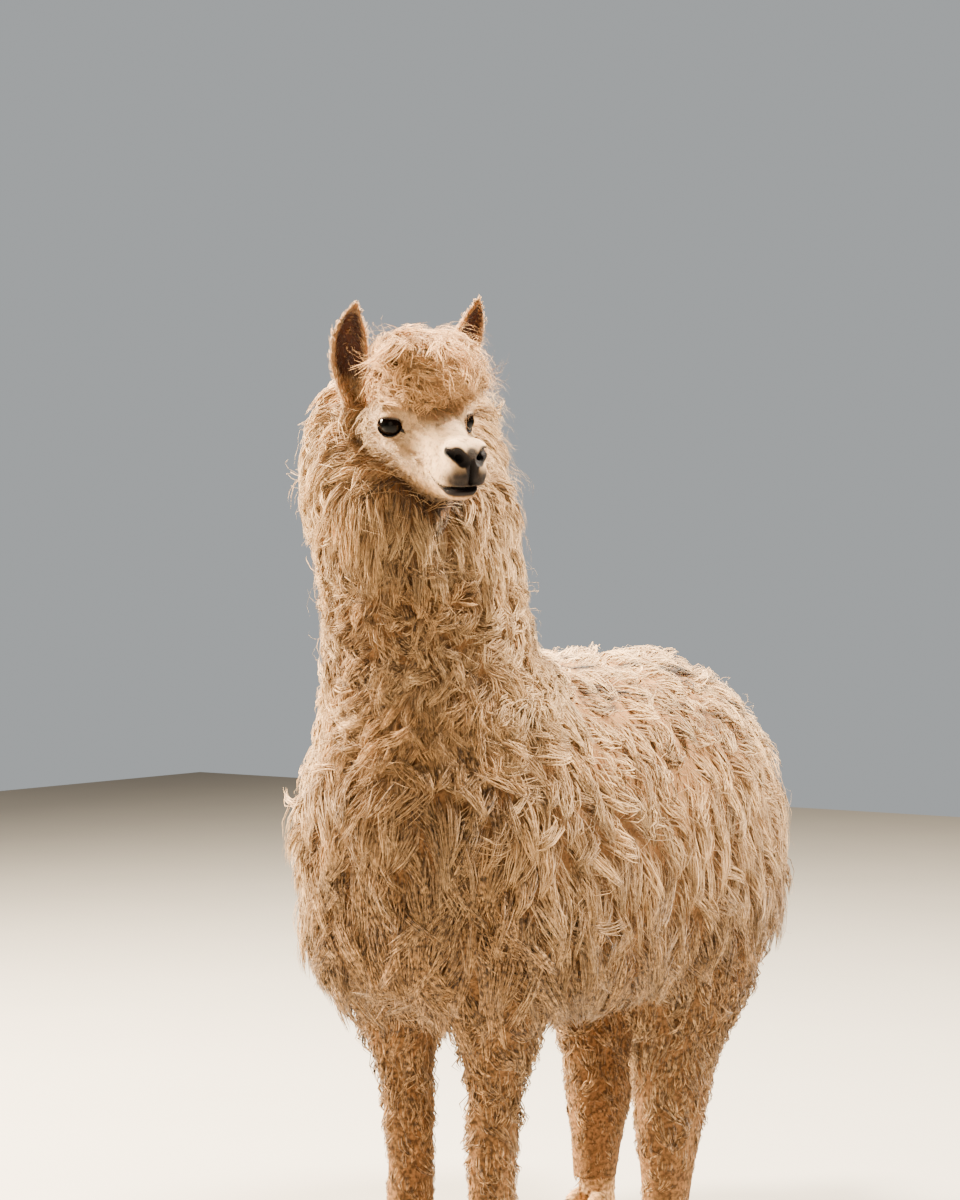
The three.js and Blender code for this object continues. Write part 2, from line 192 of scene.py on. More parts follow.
LEGS = {
    "front": {
        "x": profile((60, 92), (265, 90), (420, 98), (560, 112)),
        "left": profile((60, -300), (265, -290), (420, -286), (560, -290)),
        "right": profile((60, -246), (265, -252), (420, -268), (560, -290)),
        "width": profile(
            *((60, 36), (110, 41), (200, 44), (265, 49)),
            *((330, 55), (400, 74), (480, 90), (560, 80)),
        ),
        "depth": profile(
            *((60, 40), (110, 45), (200, 48), (265, 55)),
            *((330, 66), (400, 94), (480, 112), (560, 90)),
        ),
    },
    "hind": {
        "x": profile((60, 104), (265, 108), (400, 122), (560, 128)),
        "left": profile((60, 174), (160, 182), (285, 196), (400, 216), (560, 240)),
        "right": profile((60, 292), (160, 304), (285, 316), (400, 290), (560, 262)),
        "width": profile(
            *((60, 39), (110, 46), (200, 60), (285, 72)),
            *((340, 84), (400, 106), (480, 120), (560, 112)),
        ),
        "depth": profile(
            *((60, 44), (110, 56), (200, 84), (285, 102)),
            *((340, 122), (400, 152), (480, 186), (560, 180)),
        ),
    },
}
leg_coat = profile((60, 5), (130, 9), (250, 15), (360, 22), (480, 30))
TOE = {"length": 82, "width": 34, "height": 46, "spread": 17.5, "splay": math.radians(6)}


def leg_form(p, end, side_name):
    z, leg = p[:, 2], LEGS[end]
    coat = leg_coat(z)
    x, y = p[:, 0] - SIDES[side_name] * leg["x"](z), p[:, 1] - leg[side_name](z)
    width, depth = leg["width"](z) - coat, leg["depth"](z) - coat
    side = (oval(x, y, width, depth, 2.1) - 1) * np.minimum(width, depth)
    return np.maximum(np.maximum(side, z - 560), 58 - z)


def foot_middle(end, side_name):
    return SIDES[side_name] * LEGS[end]["x"](0), LEGS[end][side_name](0)


def toe_places(p, foot, way):
    """Places in one toe's own frame, whose tip points along -y."""
    c, s = math.cos(way * TOE["splay"]), math.sin(way * TOE["splay"])
    x, y = p[:, 0] - foot[0] - way * TOE["spread"], p[:, 1] - foot[1]
    return np.stack([x * c + y * s, y * c - x * s, p[:, 2]], axis=1)


def foot_form(p, end, side_name):
    foot = foot_middle(end, side_name)
    half = TOE["length"] / 2
    whole = ball(p, (foot[0], foot[1] + 8, 46), (29, 34, 38))
    for way in (-1, 1):
        x, y, z = toe_places(p, foot, way).T
        y = y + 10
        slope = 0.62 + 0.38 * np.clip((y + half) / TOE["length"], 0, 1)
        tall = np.where(z > 15, (TOE["height"] - 15) * slope, 19) - 1
        rho = oval(x, z - 15, TOE["width"] / 2 - 1, tall, 2.4)
        share = np.abs(y) / half
        toe = ((rho**2.4 + share**2.4) ** (1 / 2.4) - 1) * 14
        whole = smooth_join(whole, toe, 3.5)
    return np.maximum(whole, -p[:, 2])


tail_y = profile((545, 552), (640, 566), (720, 562), (800, 544), (860, 512), (890, 486))
tail_width = profile((545, 16), (585, 44), (660, 57), (740, 56), (820, 46), (890, 26))


def tail_form(p, coat=16):
    z = np.clip(p[:, 2], 545, 890)
    width = np.maximum(tail_width(z) - coat, 5)
    side = (oval(p[:, 0], p[:, 1] - tail_y(z), width, width * 0.6, 2) - 1) * width * 0.6
    return np.maximum(np.maximum(side, p[:, 2] - 880), 570 - p[:, 2])


# ---- The head, in its own frame ----
head_middle = profile(
    *((-106, -22), (-60, -14), (0, -10), (45, -26), (80, -36), (110, -38), (153, -30)),
)
head_top = profile(
    *((-106, 16), (-60, 36), (-23, 41), (0, 39), (45, 28), (80, 18), (110, 12), (153, -2)),
)
head_bottom = profile(
    *((-106, -76), (-60, -112), (-23, -121), (0, -117)),
    *((45, -100), (80, -90), (118, -83), (153, -62)),
)
head_width = profile(
    *((-106, 60), (-60, 75), (-25, 71), (0, 58), (45, 42), (80, 35), (120, 31.5), (153, 27)),
)
HEAD = {"back": -106, "nose": 153, "rounding": 3.6}
EYE = {"radius": 20.0, "aside": 52.0, "behind": 5.0, "bearing": math.radians(47)}
EYE_OPENING = {"back": 18.6, "front": 20.0, "upper": 11.0, "lower": 13.4}
MOUTH_CORNER = 86


def eye_axes(side):
    c, s = math.cos(EYE["bearing"]), math.sin(EYE["bearing"])
    out = np.array([side * s, -c, 0.03])
    nosewards = np.array([-side * c, -s, 0.0])
    return out / np.linalg.norm(out), nosewards, np.array([0.0, 0.0, 1.0])


def eye_centre(side):
    return np.array([side * EYE["aside"], EYE["behind"], 0.0])


def eye_places(q, side):
    """Places from the middle of the eyeball: outwards, towards the nose, and up."""
    away = q - eye_centre(side)
    return [away @ axis for axis in eye_axes(side)]


def lid_opening(q, side):
    """How far a place is outside the almond between the lids, in millimetres."""
    nosewards, up = eye_places(q, side)[1:]
    size = EYE_OPENING
    reach = np.where(nosewards > 0, size["front"], size["back"])
    along = np.clip(nosewards / reach, -1.3, 1.3)
    arches = (1 - np.abs(along) ** power for power in (3.2, 2.2))
    flat, deep = (np.sign(arch) * np.abs(arch) ** 0.7 for arch in arches)
    lean = -1.5 * along
    upper = up + lean - size["upper"] * flat
    lower = -(up + lean) - size["lower"] * deep
    return np.maximum(np.maximum(upper, lower) * 0.8, np.abs(nosewards) - reach)


mouth_height = profile((78, -41), (88, -46), (104, -53), (122, -57), (140, -56), (156, -54))


def skull_form(q, coat=2.0):
    l, f, u = q[:, 0], -q[:, 1], q[:, 2]
    middle = head_middle(f)
    rise = u - middle
    above, below = head_top(f) - middle - coat, middle - head_bottom(f) - coat
    half = np.where(rise > 0, above, below)
    width = head_width(f) - coat
    power = np.where(rise > 0, 2.4, 2.1)
    centre, reach = (HEAD["nose"] + HEAD["back"]) / 2, (HEAD["nose"] - HEAD["back"]) / 2 - coat
    r = HEAD["rounding"]
    share = np.abs(f - centre) / reach
    whole = (oval(l, rise, width, half, power) ** r + share**r) ** (1 / r)
    return (whole - 1) * np.minimum(width, half)


def nostril_form(mirrored):
    """The comma-shaped opening on one side of the nose."""
    mouth = rod(mirrored, (13, -151, -13), (20, -144, -6), 7.4, 7.0)
    deep = smooth_join(mouth, rod(mirrored, (15, -148, -10), (15, -130, -14), 6.0, 4.5), 2)
    return smooth_join(deep, rod(mirrored, (20, -144, -6), (31, -127, -4), 6.4, 2.6), 3)


def head_form(q):
    """The face and skull with its brows, lids, nose and lips."""
    form = skull_form(q)
    l, f, u = q[:, 0], -q[:, 1], q[:, 2]
    m = np.abs(l)
    mirrored = np.stack([m, q[:, 1], u], axis=1)
    form = smooth_join(form, ball(mirrored, (43, 14, 6), (18, 26, 23)), 12)
    form = smooth_join(form, rod(mirrored, (36, -24, 20), (56, 12, 23), 7, 8), 10)
    form = smooth_join(form, rod(mirrored, (56, 2, -27), (38, -52, -34), 8, 7), 16)
    form = smooth_cut(form, ball(mirrored, (52, -62, -22), (17, 30, 17)), 16)
    form = smooth_join(form, ball(q, (0, -124, -10), (27, 25, 20)), 12)
    form = smooth_join(form, ball(mirrored, (17, -130, -5), (12.5, 17, 13)), 9)
    form = smooth_join(form, ball(mirrored, (13, -132, -35), (16, 19, 18)), 8)
    form = smooth_join(form, ball(mirrored, (24, -110, -42), (11, 24, 15)), 10)
    form = smooth_cut(form, rod(q, (-40, -158, -80), (40, -158, -80), 20, 20), 9)
    form = smooth_join(form, ball(q, (0, -117, -65), (20, 19, 11)), 8)
    for side in SIDES.values():
        out, nosewards, up = eye_places(q, side)
        away = np.sqrt(out**2 + nosewards**2 + up**2)
        form = smooth_join(form, away - EYE["radius"] - 2.4, 5)
        crease = 0.35 * np.abs(up - 16.5 + 0.012 * nosewards**2)
        crease += np.abs(away - EYE["radius"] - 3.2)
        form = form + 0.9 * np.exp(-((crease / 2.2) ** 2)) * (out > 0)
        opening = np.maximum(lid_opening(q, side), 15.5 - away)
        form = np.where(out > 2, smooth_cut(form, opening, 1.4), form)
    form = smooth_cut(form, nostril_form(mirrored), 3.5)
    cleft = np.abs(l) + 0.9 * np.maximum(0, 130 - f) + 1.2 * np.maximum(0, np.abs(u + 30) - 16)
    form = form + 3.6 * np.exp(-((cleft / 2.8) ** 2))
    gap = np.abs(u - mouth_height(f)) + 0.8 * np.maximum(0, MOUTH_CORNER - f)
    lips = (f > 60) & (u < -20)
    parting = np.exp(-((gap / (1.7 + 1.2 * ramp(f, 100, 135))) ** 2))
    parting *= 3.0 + 3.5 * ramp(f, 96, 132)
    return form + lips * (parting - 1.3 * np.exp(-(((gap - 6) / 3.6) ** 2)))


EAR_SWAY = 7
ear_half_width = profile(
    *((0, 15), (0.2, 21), (0.45, 27), (0.65, 24), (0.82, 16), (0.94, 7), (1, 2.2)),
)
ear_hollow = profile((0, 20), (0.25, 17), (0.5, 13), (0.8, 6), (1, 1))
ear_wall = profile((0, 4.4), (0.5, 3.5), (1, 2.8))


def ear_spine(side, share):
    """A place on the ear's middle line, through its base, bow and tip."""
    base = np.array([side * 67.0, 102, 2])
    bow = np.array([side * 90 + EAR_SWAY / 2, 92, 84])
    tip = np.array([side * 95.0 + EAR_SWAY, 72, 160])
    t = np.asarray(share)[..., None]
    return base * (1 - t) * (1 - 2 * t) + bow * 4 * t * (1 - t) + tip * t * (2 * t - 1)


def ear_places(q, side):
    """The share of the way up the ear, and the places across it and in front of its middle line."""
    steps = np.linspace(-0.04, 1.03, 54)
    spine = ear_spine(side, steps)
    tangent = np.gradient(spine, axis=0)
    tangent /= np.linalg.norm(tangent, axis=1)[:, None]
    facing = np.array([side * 0.24, -1, 0.3])
    facing /= np.linalg.norm(facing)
    level = ((q[:, None, :] - spine[None]) * tangent[None]).sum(2)
    nearest = np.abs(level).argmin(1)
    share = steps[nearest] + level[np.arange(len(q)), nearest] / 160
    along = tangent[nearest]
    across = np.cross(facing, along)
    across /= np.linalg.norm(across, axis=1)[:, None]
    front = np.cross(along, across)
    away = q - spine[nearest]
    return share, (away * across).sum(1), (away * front).sum(1), across, front, along


def ear_form(q, side):
    share, a, b = ear_places(q, side)[:3]
    inside = np.clip(share, 0, 1)
    wall = ear_wall(inside)
    turn = np.linspace(0, np.pi, 19)
    wide, deep = ear_half_width(inside) - wall, ear_hollow(inside) + 1
    arc_a = -np.cos(turn)[None] * wide[:, None]
    arc_b = -np.sin(turn)[None] * deep[:, None]
    away = np.sqrt((a[:, None] - arc_a) ** 2 + (b[:, None] - arc_b) ** 2).min(1)
    past = np.maximum(share - 0.985, -0.03 - share) * 160
    return np.where(past > 0, np.sqrt(np.maximum(past, 0) ** 2 + away**2), away) - wall


CROWN = ((0, 22, 54), (56, 54, 38))  # the wool-covered dome that carries the topknot
TOPKNOT_MOPS = (
    ((6, 33, 86), (76, 72, 50)),
    ((26, -18, 76), (57, 40, 36)),
    ((-38, 34, 96), (46, 46, 38)),
    ((4, 80, 52), (56, 42, 44)),
)


def topknot_form(q, coat=24):
    form = np.full(len(q), 1e3)
    lean = turn_about("x", math.radians(-18))
    for centre, radii in TOPKNOT_MOPS:
        turned = (q - np.array(centre)) @ lean
        form = smooth_join(form, ball(turned, (0, 0, 0), np.array(radii) - coat), 20)
    return smooth_join(form, ball(q, *CROWN), 30)


FORMS = ("trunk", "neck", "leg", "foot", "tail", "head", "topknot", "ear")


def body_forms(p):
    """Every form's distance at each place, in the order of FORMS."""
    far = np.full(len(p), 1e3)
    found = {name: far.copy() for name in FORMS}
    x, y, z = p.T
    q = to_head(p)

    def fill(name, near, form, blend=0.0):
        if near.any():
            value = form(near)
            before = found[name][near]
            joined = smooth_join(before, value, blend) if blend else np.minimum(before, value)
            found[name][near] = joined

    fill("trunk", (z > 300) & (z < 1060), lambda n: trunk_form(p[n]))
    fill("neck", z > 560, lambda n: neck_form(p[n]))
    for end in LEGS:
        for side_name, side in SIDES.items():
            middle_x, middle_y = foot_middle(end, side_name)
            near = (z < 640) & (x * side > -80) & (np.abs(y - middle_y) < 330)
            fill("leg", near, lambda n: leg_form(p[n], end, side_name), 10)
            near = (z < 120) & (np.abs(x - middle_x) < 90) & (np.abs(y - middle_y) < 110)
            fill("foot", near, lambda n: foot_form(p[n], end, side_name))
    fill("tail", (y > 380) & (z > 480), lambda n: tail_form(p[n]))
    close = (np.abs(q[:, 0]) < 150) & (np.abs(q[:, 1]) < 230) & (np.abs(q[:, 2]) < 240)
    fill("head", close, lambda n: head_form(q[n]))
    fill("topknot", close, lambda n: topknot_form(q[n]))
    for side in SIDES.values():
        near = close & (q[:, 0] * side > 30) & (q[:, 1] > 20) & (q[:, 2] > -45)
        fill("ear", near, lambda n: ear_form(q[n], side))
    return found


def skin_field(p):
    """One smooth distance to the whole animal's skin."""
    found = body_forms(p)
    body = smooth_join(found["trunk"], found["neck"], 70)
    body = smooth_join(body, smooth_join(found["leg"], found["foot"], 7), 34)
    body = smooth_join(body, found["tail"], 14)
    crown = smooth_join(found["head"], found["topknot"], 10)
    crown = smooth_join(crown, found["ear"], 6)
    whole = smooth_join(body, crown, 9)
    return np.maximum(whole, -p[:, 2])


# ---- One closed skin: a net over the field in blocks of graded cells, zipped together ----
def steps(*spans):
    """Grid lines through (start, end, step) spans laid end to end."""
    lines = [np.arange(start, end - step / 2, step) for start, end, step in spans]
    return np.concatenate(lines + [[spans[-1][1]]])


def in_parts(places, most_at_once):
    """The skin's field at many places, a part at a time to spare memory."""
    parts = np.array_split(places, len(places) // most_at_once + 1)
    return np.concatenate([skin_field(part) for part in parts])


def sample_field(xs, ys, zs, stride=3):
    """The field at every grid node, worked out in full only near the skin."""
    picks = [np.unique(np.append(np.arange(0, len(a), stride), len(a) - 1)) for a in (xs, ys, zs)]
    coarse_axes = [a[pick] for a, pick in zip((xs, ys, zs), picks)]
    grid = np.stack(np.meshgrid(*coarse_axes, indexing="ij"), axis=-1)
    coarse = skin_field(grid.reshape(-1, 3)).reshape(grid.shape[:3])
    corners = np.stack([
        coarse[i:coarse.shape[0] - 1 + i, j:coarse.shape[1] - 1 + j, k:coarse.shape[2] - 1 + k]
        for i in (0, 1) for j in (0, 1) for k in (0, 1)
    ])
    sizes = [np.diff(a) for a in coarse_axes]
    diagonal = np.sqrt(
        sizes[0][:, None, None] ** 2 + sizes[1][None, :, None] ** 2 + sizes[2][None, None, :] ** 2
    )
    crossed = (corners < 0).any(0) & (corners > 0).any(0)
    wanted = (np.abs(corners).min(0) < 1.25 * diagonal) | crossed
    near = [np.abs(a[:, None] - c[None]).argmin(1) for a, c in zip((xs, ys, zs), coarse_axes)]
    values = coarse[np.ix_(*near)]
    close = np.zeros(values.shape, bool)
    for i, j, k in np.argwhere(wanted):
        close[picks[0][i]:picks[0][i + 1] + 1, picks[1][j]:picks[1][j + 1] + 1,
              picks[2][k]:picks[2][k + 1] + 1] = True
    at = np.argwhere(close)
    places = np.stack([xs[at[:, 0]], ys[at[:, 1]], zs[at[:, 2]]], axis=1)
    values[close] = in_parts(places, 60000)
    return values


def net(xs, ys, zs):
    """Points and quads of the skin inside one block, open where the block's faces cut it."""
    values = sample_field(xs, ys, zs)
    inside = values < 0
    cells = tuple(n - 1 for n in values.shape)
    offsets = np.array([(i, j, k) for i in (0, 1) for j in (0, 1) for k in (0, 1)])
    count = sum(
        inside[i:cells[0] + i, j:cells[1] + j, k:cells[2] + k].astype(int) for i, j, k in offsets
    )
    active = np.argwhere((count > 0) & (count < 8))
    corner = active[:, None, :] + offsets[None]
    value = values[corner[..., 0], corner[..., 1], corner[..., 2]]
    place = np.stack([xs[corner[..., 0]], ys[corner[..., 1]], zs[corner[..., 2]]], axis=-1)
    total, number = np.zeros((len(active), 3)), np.zeros(len(active))
    for a in range(8):
        for b in range(a + 1, 8):
            if np.abs(offsets[a] - offsets[b]).sum() == 1:
                crossed = (value[:, a] < 0) != (value[:, b] < 0)
                share = value[:, a] / np.where(crossed, value[:, a] - value[:, b], 1)
                middle = place[:, a] + (place[:, b] - place[:, a]) * share[:, None]
                total += middle * crossed[:, None]
                number += crossed
    points = total / number[:, None]
    index = np.full(cells, -1)
    index[tuple(active.T)] = np.arange(len(active))
    quads = []
    for axis in range(3):
        other = [a for a in range(3) if a != axis]
        low = np.take(inside, range(cells[axis]), axis)
        high = np.take(inside, range(1, cells[axis] + 1), axis)
        at = np.argwhere(low != high)
        fits = np.all([(at[:, a] > 0) & (at[:, a] < cells[a]) for a in other], axis=0)
        at = at[fits]
        ring = []
        for step_a, step_b in ((1, 1), (0, 1), (0, 0), (1, 0)):
            cell = at.copy()
            cell[:, other[0]] -= step_a
            cell[:, other[1]] -= step_b
            ring.append(index[tuple(cell.T)])
        ring = np.stack(ring, axis=1)
        flip = low[tuple(at.T)] == (axis == 1)
        quads.append(np.where(flip[:, None], ring[:, ::-1], ring))
    return points, np.concatenate(quads)


def open_loops(quads):
    """The loops of points along a block's open edges, in the order of its faces."""
    starts, ends = quads.ravel(), np.roll(quads, -1, axis=1).ravel()
    pairs = set(zip(starts.tolist(), ends.tolist()))
    after = {b: a for a, b in pairs if (b, a) not in pairs}
    loops = []
    while after:
        first, point = next(iter(after.items()))
        loop = [first]
        del after[first]
        while point in after:
            loop.append(point)
            point = after.pop(point)
        loops.append(loop)
    return loops


def zip_loops(points, below, above):
    """Triangles between two loops that ring the same upright core, one above the other."""
    middle = points[below].mean(0)

    def in_order(loop):
        bearing = np.arctan2(points[loop][:, 1] - middle[1], points[loop][:, 0] - middle[0])
        order = np.argsort(bearing)
        return np.array(loop)[order], bearing[order]

    (low, low_at), (high, high_at) = in_order(below), in_order(above)
    low, high = np.append(low, low[0]), np.append(high, high[0])
    low_at, high_at = (np.append(at, at[0] + 2 * np.pi) for at in (low_at, high_at))
    faces, i, j = [], 0, 0
    while i < len(low) - 1 or j < len(high) - 1:
        if j == len(high) - 1 or (i < len(low) - 1 and low_at[i + 1] < high_at[j + 1]):
            faces.append((low[i], low[i + 1], high[j]))
            i += 1
        else:
            faces.append((low[i], high[j + 1], high[j]))
            j += 1
    return np.array(faces)


def split_quads(points, quads):
    """Each quad as two triangles across its shorter diagonal."""
    a, b, c, d = (points[quads[:, i]] for i in range(4))
    short = (np.linalg.norm(a - c, axis=1) <= np.linalg.norm(b - d, axis=1))[:, None]
    first = np.where(short, quads[:, [0, 1, 2]], quads[:, [0, 1, 3]])
    second = np.where(short, quads[:, [0, 2, 3]], quads[:, [1, 2, 3]])
    return np.concatenate([first, second])


def refine(points, triangles, chosen):
    """The chosen triangles in four, and their neighbours parted to match."""
    edges = np.sort(triangles[:, [0, 1, 1, 2, 2, 0]].reshape(-1, 2), axis=1)
    unique, back = np.unique(edges, axis=0, return_inverse=True)
    back = back.reshape(-1, 3)
    split = np.zeros(len(unique), bool)
    split[back[chosen].ravel()] = True
    number = np.cumsum(split) - 1 + len(points)
    middles = points[unique[split]].mean(1)
    cut = split[back]
    parts = [triangles[~cut.any(1)]]
    whole = cut.all(1)
    a, b, c = triangles[whole].T
    ab, bc, ca = number[back[whole]].T
    parts += [np.stack(t, 1) for t in ((a, ab, ca), (ab, b, bc), (ca, bc, c), (ab, bc, ca))]
    for turn in range(3):
        spun, at, marks = (np.roll(table, -turn, 1) for table in (triangles, back, cut))
        one = marks[:, 0] & ~marks[:, 1] & ~marks[:, 2]
        a, b, c = spun[one].T
        ab = number[at[one, 0]]
        parts += [np.stack((a, ab, c), 1), np.stack((ab, b, c), 1)]
        two = marks[:, 0] & marks[:, 1] & ~marks[:, 2]
        a, b, c = spun[two].T
        ab, bc = number[at[two, 0]], number[at[two, 1]]
        parts += [np.stack(t, 1) for t in ((a, ab, c), (ab, bc, c), (ab, b, bc))]
    return np.concatenate([points, middles]), np.concatenate(parts)


def field_slope(points, reach=0.6):
    """The field at each place, and its slope there."""
    stacked = np.concatenate([points] + [points + reach * axis for axis in np.eye(3)])
    here, *ahead = in_parts(stacked, 80000).reshape(4, -1)
    return here, np.stack([(value - here) / reach for value in ahead], axis=1)


def settle(points, rounds, limit=2.5):
    """Points slid down the field's slope onto the skin."""
    for _ in range(rounds):
        value, slope = field_slope(points)
        move = slope * (value / np.maximum((slope**2).sum(1), 0.15))[:, None]
        length = np.linalg.norm(move, axis=1)
        points = points - move * np.minimum(1, limit / np.maximum(length, 1e-9))[:, None]
    return points


ANKLE, COLLAR = 100, 1120  # heights at which the feet and the head are netted apart
BODY_CELL, HEAD_CELL, FACE_CELL, FOOT_CELL = 15, 8, 4.3, 5


def net_skin():
    """The whole skin as points and triangles: body, head and four feet."""
    body = net(
        steps((-290, 290, BODY_CELL)), steps((-560, 620, BODY_CELL)),
        np.append(np.arange(ANKLE, COLLAR, 12), COLLAR),
    )
    head = net(
        steps((-240, -92, HEAD_CELL), (-92, 208, FACE_CELL)),
        steps((-580, -264, FACE_CELL), (-264, -90, HEAD_CELL)),
        steps((COLLAR, 1152, HEAD_CELL), (1152, 1484, FACE_CELL)),
    )
    blocks = [body, head]
    for end in LEGS:
        for side_name in SIDES:
            x, y = foot_middle(end, side_name)
            blocks.append(net(
                steps((x - 72, x + 72, FOOT_CELL)), steps((y - 84, y + 84, FOOT_CELL)),
                steps((-FOOT_CELL * 1.5, ANKLE, FOOT_CELL)),
            ))
    points, triangles, loops, start = [], [], [], 0
    for block_points, quads in blocks:
        loops.append([np.array(loop) + start for loop in open_loops(quads)])
        triangles.append(split_quads(block_points, quads) + start)
        points.append(block_points)
        start += len(block_points)
    points, triangles = np.concatenate(points), np.concatenate(triangles)
    seams = []
    for loop in loops[0]:
        middle = points[loop].mean(0)
        partners = [other for block in loops[1:] for other in block]
        partner = min(partners, key=lambda other: np.linalg.norm(points[other].mean(0) - middle))
        below, above = (loop, partner) if middle[2] > 600 else (partner, loop)
        seams.append(zip_loops(points, below, above))
    return points, np.concatenate([triangles, *seams])


# ---- Camera, floor and lights ----
CAMERA = {"place": (2.0636, -3.1880, 1.055), "turn": 35, "lens": 72, "film": 36, "shift": -0.0125}
LIGHTS = (
    # name, place, aim, size, power, colour
    ("front_fill", (1.6, -4.4, 1.4), (0, -0.2, 0.9), 2.6, 45, (1.0, 0.78, 0.55)),
    ("sun_flank", (2.0, 1.6, 4.3), (0, 0.0, 0.9), 1.1, 1450, (1.0, 0.89, 0.74)),
    ("sun_crown", (-1.1, -0.1, 4.4), (0, -0.35, 1.2), 1.0, 1250, (1.0, 0.87, 0.69)),
    ("sun_neck_edge", (-3.6, -1.3, 2.5), (0, -0.35, 1.0), 1.2, 2100, (1.0, 0.83, 0.60)),
)


def place_object(name, data):
    piece = bpy.data.objects.new(name, data)
    bpy.context.scene.collection.objects.link(piece)
    return piece


def set_camera():
    data = bpy.data.cameras.new("camera")
    data.sensor_fit = "VERTICAL"
    data.sensor_height = CAMERA["film"]
    data.lens = CAMERA["lens"]
    data.shift_y = CAMERA["shift"]
    camera = place_object("camera", data)
    camera.location = CAMERA["place"]
    camera.rotation_euler = (math.radians(90), 0, math.radians(CAMERA["turn"]))
    bpy.context.scene.camera = camera


def area_light(name, place, aim, size, power, colour):
    data = bpy.data.lights.new(name, "AREA")
    data.shape = "DISK"
    data.size = size
    data.energy = power
    data.color = colour
    light = place_object(name, data)
    light.location = place
    light.rotation_euler = (Vector(aim) - Vector(place)).to_track_quat("-Z", "Y").to_euler()


def mesh_from(name, points, triangles):
    """A smooth-shaded mesh from arrays of places in metres and triangles."""
    mesh = bpy.data.meshes.new(name)
    mesh.vertices.add(len(points))
    mesh.vertices.foreach_set("co", np.ascontiguousarray(points, np.float32).ravel())
    mesh.loops.add(len(triangles) * 3)
    mesh.loops.foreach_set("vertex_index", np.ascontiguousarray(triangles, np.int32).ravel())
    mesh.polygons.add(len(triangles))
    mesh.polygons.foreach_set("loop_start", np.arange(len(triangles), dtype=np.int32) * 3)
    mesh.polygons.foreach_set("use_smooth", np.ones(len(triangles), bool))
    mesh.update(calc_edges=True)
    return mesh


def add_values(mesh, name, values):
    """A named attribute of numbers or of three-part vectors on a mesh's points."""
    kind, field = ("FLOAT", "value") if values.ndim == 1 else ("FLOAT_VECTOR", "vector")
    layer = mesh.attributes.new(name, kind, "POINT")
    layer.data.foreach_set(field, np.ascontiguousarray(values, np.float32).ravel())


def place_piece(name, mesh, material):
    mesh.materials.append(material)
    return place_object(name, mesh)


# ---- The fleece: closed, tapering locks combed from the skin ----
def wander(points, size, seed):
    """Smooth noise over space, from -1 to 1, with features of one size."""
    table = np.random.default_rng(seed).uniform(-1, 1, (24, 24, 24))
    scaled = points / size
    cell = np.floor(scaled).astype(int)
    t = scaled - cell
    t = t * t * (3 - 2 * t)
    total = np.zeros(len(points))
    for i in (0, 1):
        for j in (0, 1):
            for k in (0, 1):
                corner = (cell + (i, j, k)) % 24
                share = np.abs(1 - i - t[:, 0]) * np.abs(1 - j - t[:, 1]) * np.abs(1 - k - t[:, 2])
                total += table[tuple(corner.T)] * share
    return total


def swirl(points, size, seed):
    return np.stack([wander(points, size, seed + axis) for axis in range(3)], axis=1)


def unit(vectors):
    return vectors / np.maximum(np.linalg.norm(vectors, axis=-1, keepdims=True), 1e-9)


def along_skin(directions, normals):
    """Directions laid flat on the skin."""
    return unit(directions - normals * (directions * normals).sum(1)[:, None])


bare_edge = profile(
    *((-112, 96), (-95, 76), (-85, 38), (-70, 20), (-50, -3), (-30, -24)),
    *((0, -32), (14, -28), (24, -6), (32, 20), (42, 38), (60, 50)),
)
UNWRAP = {  # the corner and size of each form's chart on the skin's unwrapped sheet
    "trunk": (0, 0, 0.58, 0.5), "neck": (0.6, 0, 0.39, 0.42), "head": (0, 0.52, 0.3, 0.3),
    "topknot": (0.32, 0.52, 0.18, 0.18), "tail": (0.52, 0.52, 0.08, 0.16),
    "ear": (0, 0.84, 0.3, 0.15), "leg": (0.62, 0.44, 0.37, 0.36), "foot": (0.62, 0.82, 0.37, 0.16),
}


def bearing_share(a, b):
    return np.arctan2(a, b) / (2 * np.pi) + 0.5


def pill_chart(along, start, end, radius, a, b):
    """A pill-shaped form unrolled: the bearing round it, and the way along its rounded side."""
    nearest = np.clip(along, start, end)
    polar = np.arctan2(along - nearest, np.hypot(a, b))
    reach = radius * np.pi / 2
    way = (nearest - start + radius * polar + reach) / (end - start + 2 * reach)
    return bearing_share(a, b), way


def unwrap(p, form):
    """Each place on the skin's unwrapped sheet."""
    q = to_head(p)
    x, y, z = p.T
    leg = (x > 0).astype(int) + 2 * (y > 0)
    leg_x = np.where(y > 0, LEGS["hind"]["x"](z), LEGS["front"]["x"](z)) * np.sign(x)
    leg_y = np.choose(leg, [LEGS[e][s](z) for e in ("front", "hind") for s in ("right", "left")])
    round_leg = bearing_share(x - leg_x, y - leg_y)
    ear_side = (q[:, 0] > 0).astype(int)
    charts = {
        "trunk": pill_chart(y, -260, 330, 250, x, z - 650),
        "neck": (bearing_share(x - neck_x(z), neck_y(z) - y), (z - 560) / 820),
        "head": pill_chart(-q[:, 1], -60, 110, 55, q[:, 0], q[:, 2] + 30),
        "topknot": pill_chart(q[:, 0], -20, 20, 60, q[:, 1] - 25, q[:, 2] - 55),
        "tail": (bearing_share(x, y - tail_y(z)), (z - 540) / 360),
        "ear": ((ear_side + 0.5 + (q[:, 1] - 85) / 110) / 2, (q[:, 2] + 10) / 180),
        "leg": ((leg + round_leg) / 4, z / 620),
        "foot": ((leg + round_leg) / 4, z / 130),
    }
    sheet = np.zeros((len(p), 2))
    for number, name in enumerate(FORMS):
        u0, v0, width, height = UNWRAP[name]
        here = form == number
        sheet[here, 0] = u0 + width * np.clip(charts[name][0][here], 0, 1)
        sheet[here, 1] = v0 + height * np.clip(charts[name][1][here], 0, 1)
    return sheet


